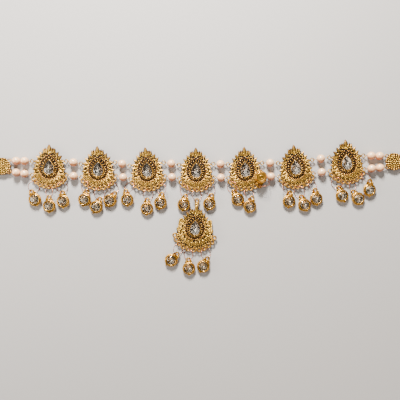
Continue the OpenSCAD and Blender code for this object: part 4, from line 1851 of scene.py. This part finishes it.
@dataclass
class Drop(Part):
    """The scalloped cup of a hanging stone, with its bail."""

    scallops: int = 18
    scallop_sides: int = 6
    scallop_depth: float = 0.5
    scallop_fall: float = 0.25
    scallop_bend: float = 0.6
    ledge_w: float = 0.9
    knob_r: float = 0.8

    def build(self) -> Patch:
        """Return the cup round the origin, with its bail on +Y.

        Returns:
            The cup and its bail.
        """
        belt = self.belt
        seat = belt.drop_stone_d / 2 + belt.seat_gap
        rim = seat + belt.cup_wall
        wall = rim + self.ledge_w
        edge = wall + self.scallop_depth
        z, floor, top = belt.plate_mid, belt.cup_floor, belt.cup_top
        rows = (
            (0.2, floor, 0.0, 0.1), (seat, floor, 0.0, 0.1), (seat, top - 0.2, 0.0, 0.4),
            (seat + 0.12, top, 0.0, 0.95), (rim - 0.15, top, 0.0, 0.95), (rim + 0.05, top - 0.3, 0.0, 0.5),
            (rim + 0.15, z + 0.7, 0.0, 0.05), (wall - 0.15, z + 0.62, 0.25, 0.5),
            (wall + 0.2, z + 0.45, 0.7, 0.95), (edge, z + 0.1, 1.0, 0.8), (edge, z - 0.25, 1.0, 0.4),
            (wall, z - 0.4, 0.5, 0.7), (seat + 0.5, 0.7, 0.0, 0.8), (seat + 0.2, 0.15, 0.0, 1.0),
            (seat - 0.3, 0.0, 0.0, 0.9), (seat - 0.8, 0.3, 0.0, 0.4), (2.0, 0.35, 0.0, 0.75),
            (1.3, 0.0, 0.0, 1.0), (0.4, 0.0, 0.0, 0.9),
        )
        lines = []
        for r, height, crimp, _ in rows:
            line = []
            for t in steps(self.scallops * self.scallop_sides):
                bulge = abs(cosd(t * self.scallops / 2)) ** self.scallop_bend
                dent = crimp * self.scallop_depth * (1 - bulge)
                fall = self.scallop_fall * dent
                line.append(Vector(((r - dent) * cosd(t), (r - dent) * sind(t), height - fall)))
            lines.append(line)
        patch = grid(lines, [w for *_, w in rows], 0.35, False, (True, True))
        reach = Vector((0, belt.drop_reach))
        foot_y = wall - self.ledge_w
        neck = [(-3.1, foot_y), (3.1, foot_y), (2.1, belt.drop_reach), (-2.1, belt.drop_reach)]
        patch.join(belt.bail_plate(reach, neck, 0.35))
        edge_line = ((3.5, wall - 0.3), (2.7, wall + 1.2), (2.1, belt.drop_reach))
        for side in SIDES:
            path = [Vector((side * x, y, belt.loop_top)) for x, y in edge_line]
            patch.join(tube(path, (0.42, 0.42, 0.3), 8, 0.3))
        patch.join(belt.loop(), flat_place(reach, 0, z))
        return patch.join(granule(self.knob_r, 0.4, 0.4), flat_place(Vector((0, -edge)), 0, z))

    def place(self) -> None:
        """Put a copy of the cup in the place of each node."""
        patch = self.build()
        for n, place in enumerate(self.belt.drop_matrices()):
            name = f"drop_cup_{n + 1}"
            self.shop.piece(f"set_{name}", Patch().join(patch, place), Slot.CUP, name)


@dataclass
class Strands(Part):
    """The pearls of both strands."""

    sides: int = 28
    rings: int = 16
    painted_shade: float = 0.15
    painted_shade_fall: float = 1.1

    def pearl(self) -> Patch:
        """Return a drilled pearl whose bore runs along X.

        Returns:
            The pearl round the origin.
        """
        belt = self.belt
        r = belt.pearl_d / 2
        bore = belt.pin_r + belt.bore_gap
        half = sqrt(r * r - bore * bore)
        start = degrees(atan2(bore, half))
        turns = [start + (180 - 2 * start) * k / self.rings for k in range(1, self.rings)]
        rings = [(bore, -half), *((r * sind(t), -r * cosd(t)) for t in turns), (bore, half)]
        rows = [[Vector((x, *p)) for p in circle(ORIGIN, radius, self.sides)] for radius, x in rings]
        patch = grid(list(reversed(rows)), [0.5] * len(rows), 0.0, True)
        # Painted shade: darker towards -Y, the side away from the key light.
        patch.tone = [min(1.0, max(0.0, self.painted_shade - self.painted_shade_fall * p.y / r)) for p in patch.points]
        return patch

    def build(self) -> None:
        """Put the pearls of each strand in the place of their node."""
        belt = self.belt
        pearl = self.pearl()
        for row, name in ((1, "upper_pearls"), (-1, "lower_pearls")):
            stamps = []
            for start, end, count in belt.strand(row):
                run = end - start
                turn = degrees(atan2(run.y, run.x))
                turn = turn if abs(turn) < 90 else turn - 180
                for k in range(count):
                    share = 0.5 + (k - (count - 1) / 2) * (belt.pearl_d + belt.touch_gap) / run.length
                    stamps.append(Stamp.flat(start.lerp(end, share), belt.pearl_d / 2, turn))
            pearls = self.shop.scatter.place(pearl, stamps)
            self.shop.piece(f"drilled_{name}", pearls, Slot.PEARL, name)


@dataclass
class Rings(Part):
    """The jump rings."""

    def build(self) -> None:
        """Put all rings in the place of their node."""
        belt = self.belt
        path = [above(p, 0) for p in circle(ORIGIN, belt.ring_r, 44)]
        ring = self.shop.wire.along(path, belt.ring_wire, 8)
        stamps = []
        for place in belt.ring_matrices():
            turn = place.to_euler("XYZ")
            stamps.append(Stamp(place.translation, tuple(degrees(a) for a in turn)))
        rings = self.shop.scatter.place(ring, stamps)
        self.shop.piece("round_jump_rings", rings, Slot.RING, "jump_rings")


@dataclass
class Chain(Part):
    """The chain at one end."""

    side: int
    name: str

    def link(self) -> Patch:
        """Return one oval link along X.

        Returns:
            The link round the origin.
        """
        belt = self.belt
        half = belt.link_side / 2
        path = []
        for side in (1, -1):
            for k in range(9):
                t = 22.5 * k - 90
                x, y = half + belt.link_end * cosd(t), belt.link_end * sind(t)
                path.append(Vector((side * x, side * y, 0)))
        return self.shop.wire.along(path, belt.link_wire, 8)

    def build(self) -> None:
        """Put the links in the place of their node."""
        belt = self.belt
        stamps = []
        for n in range(belt.chain_links):
            start, end = belt.chain_joint(self.side, n), belt.chain_joint(self.side, n + 1)
            tilt = -self.side * degrees(atan2(end.z - start.z, belt.link_pitch))
            lean = belt.link_lean - (90 if n % 2 else 0)
            stamps.append(Stamp((start + end) / 2, (lean, tilt, 0)))
        links = self.shop.scatter.place(self.link(), stamps)
        self.shop.piece(f"linked_{self.name}", links, Slot.CHAIN, self.name)


@dataclass
class Flower(Part):
    """A round granulated flower plaque."""

    side: int
    outer: bool
    circles: tuple[tuple[float, int, float, float], ...] = (
        (7.55, 20, 0.98, 0.4), (5.8, 16, 0.95, 0.1), (4.0, 12, 0.9, 0.1),
        (2.15, 7, 0.85, 0.1), (0.0, 1, 1.1, 0.3),
    )

    def build(self) -> None:
        """Put the flower in the place of its node."""
        belt = self.belt
        place = self.shop.scatter.place
        x, y = belt.flower_lug_x, belt.flower_strand
        lugs = [Vector((s * x, row * y)) for s in ([-self.side] if self.outer else SIDES) for row in SIDES]
        petals = [turned(Vector((belt.flower_r, 0)), t) for t in steps(belt.petals)]
        lines = [circle(ORIGIN, belt.flower_r, 48)]
        lines += [circle(p, belt.flower_petal_r, 22) for p in petals]
        holes = [circle(p, belt.lug_hole_r, 24) for p in lugs]
        loops = [(p, belt.lug_mid, 0.45) for p in lugs]
        if self.outer:
            loop = Vector((self.side * belt.flower_loop_x, 0))
            holes.append(circle(loop, belt.chain_hole_r, 24))
            loops.append((loop, belt.chain_hole_r + 0.42, 0.43))
        patch = plate(lines, holes, belt.plate_low, belt.plate_top, 0.3)
        edge = circle(ORIGIN, belt.flower_r - 1.5, 40)
        foot = [[above(p, z) for p in edge] for z in (belt.plate_low + 0.05, 0.0)]
        patch.join(grid(foot, (0.3, 0.1), 0.0, False, (True, True)))
        for p, mid, half in loops:
            patch.join(torus(mid, half, 0.42, 24, 10, 0.6), flat_place(p, 0, belt.plate_mid))
        z = belt.plate_top - 0.05
        for reach, count, grain, tone in self.circles:
            spots = [Stamp.flat(turned(Vector((reach, 0)), t), z) for t in steps(count)]
            patch.join(place(granule(grain, grain * 0.8, tone), spots, 0.08))
        end = "right" if self.side > 0 else "left"
        name = f"{'outer_' if self.outer else ''}flower_{end}"
        middle = Vector((belt.flower_x(self.side, self.outer), belt.end_y(self.side)))
        self.shop.piece(f"grained_{name}", patch, Slot.FLOWER, name, place=flat_place(middle * MM, 0))


@dataclass
class Studio:
    """The floor, the lights, the world and the camera."""

    centre: tuple[float, float] = (0.0036, -0.0287)
    distance: float = 0.38
    top: float = 0.0035
    view_width: float = 0.388
    sensor: float = 36.0
    clip_start: float = 0.01
    floor_half: float = 1500.0
    floor_z: float = -0.02

    def light(self, name: str, at: Sequence[float], size: float, power: float, colour: Colour) -> None:
        """Add a soft area light that looks at the belt's middle.

        Args:
            name: Name of the light.
            at: Its place, in metres.
            size: Its diameter, in metres.
            power: Its power, in watts.
            colour: Its colour.
        """
        data = bpy.data.lights.new(name, "AREA")
        data.shape = "DISK"
        data.size = size
        data.energy = power
        data.color = colour
        obj = bpy.data.objects.new(name, data)
        obj.location = at
        aim = Vector((*self.centre, 0.0)) - Vector(at)
        obj.rotation_euler = aim.to_track_quat("-Z", "Y").to_euler()
        bpy.context.scene.collection.objects.link(obj)

    def build(self) -> None:
        """Make the floor, the lights, the world and the camera."""
        half = self.floor_half
        flat = ((-half, -half), (half, -half), (half, half), (-half, half))
        corners = [Vector((*p, self.floor_z)) for p in flat]
        floor = linked("floor", Patch().add(corners, [(0, 1, 2, 3)], [0.0] * 4, [0.0] * 4).mesh("floor"))
        floor.data.materials.append(Paper("paper", (0.45, 0.43, 0.41)).material())
        self.light("key", (-0.1, 0.6, 0.5), 0.22, 30.0, (1.0, 0.97, 0.93))
        self.light("fill", (0.35, -0.45, 0.6), 0.5, 2.5, (1.0, 0.9, 0.82))
        self.light("side", (-0.6, -0.05, 0.3), 0.3, 3.0, (1.0, 0.95, 0.9))
        world = bpy.data.worlds.new("room")
        bpy.context.scene.world = world
        graph = Graph(world)
        way = graph.node("ShaderNodeTexCoord", {}, {}).outputs["Generated"]
        rise = graph.value("ShaderNodeSeparateXYZ", {}, {0: way}, 2)
        stops = ((0.0, (0.4, 0.37, 0.34)), (0.45, (0.18, 0.17, 0.16)), (0.9, (0.07, 0.07, 0.07)))
        light = graph.ramp(rise, stops)
        sky = graph.node("ShaderNodeBackground", {}, {"Color": light, "Strength": 1.0})
        graph.node("ShaderNodeOutputWorld", {}, {"Surface": sky.outputs[0]})
        data = bpy.data.cameras.new("camera")
        data.sensor_width = self.sensor
        data.lens = self.sensor * self.distance / self.view_width
        data.clip_start = self.clip_start
        camera = bpy.data.objects.new("camera", data)
        camera.location = (*self.centre, self.distance + self.top)
        bpy.context.scene.collection.objects.link(camera)
        bpy.context.scene.camera = camera


def dress_kept(shop: Workshop) -> None:
    """Dress the CAD nodes that stay: pins, hook and end ring.

    Args:
        shop: The workshop that has the finishes.
    """
    kept = {"upper_pins": Slot.PIN, "lower_pins": Slot.PIN, "end_hook": Slot.CHAIN, "end_ring": Slot.CHAIN}
    for name, slot in kept.items():
        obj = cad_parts[name]
        count = len(obj.data.vertices)
        for key, value in (("wear", 0.8), ("tone", 0.2)):
            obj.data.attributes.new(key, "FLOAT", "POINT").data.foreach_set("value", [value] * count)
        shop.dress(obj, slot)
        LOG.info("%s: kept", name)


def main() -> None:
    """Build the belt and its studio."""
    logging.basicConfig(level=logging.INFO, format="%(name)s %(message)s")
    shop = Workshop()
    plaque = Plaque(shop)
    cast = plaque.build()
    for i in range(PENDANT):
        plaque.place(cast, i)
    pendant = Plaque(shop, shop.belt.pendant_grow, False)
    pendant.place(pendant.build(), PENDANT)
    Stones(shop).build()
    Drop(shop).place()
    Strands(shop).build()
    Rings(shop).build()
    for side, name in ((-1, "chain_left"), (1, "chain_right")):
        Chain(shop, side, name).build()
        for outer in (False, True):
            Flower(shop, side, outer).build()
    dress_kept(shop)
    Studio().build()


if __name__ == "__main__":
    main()
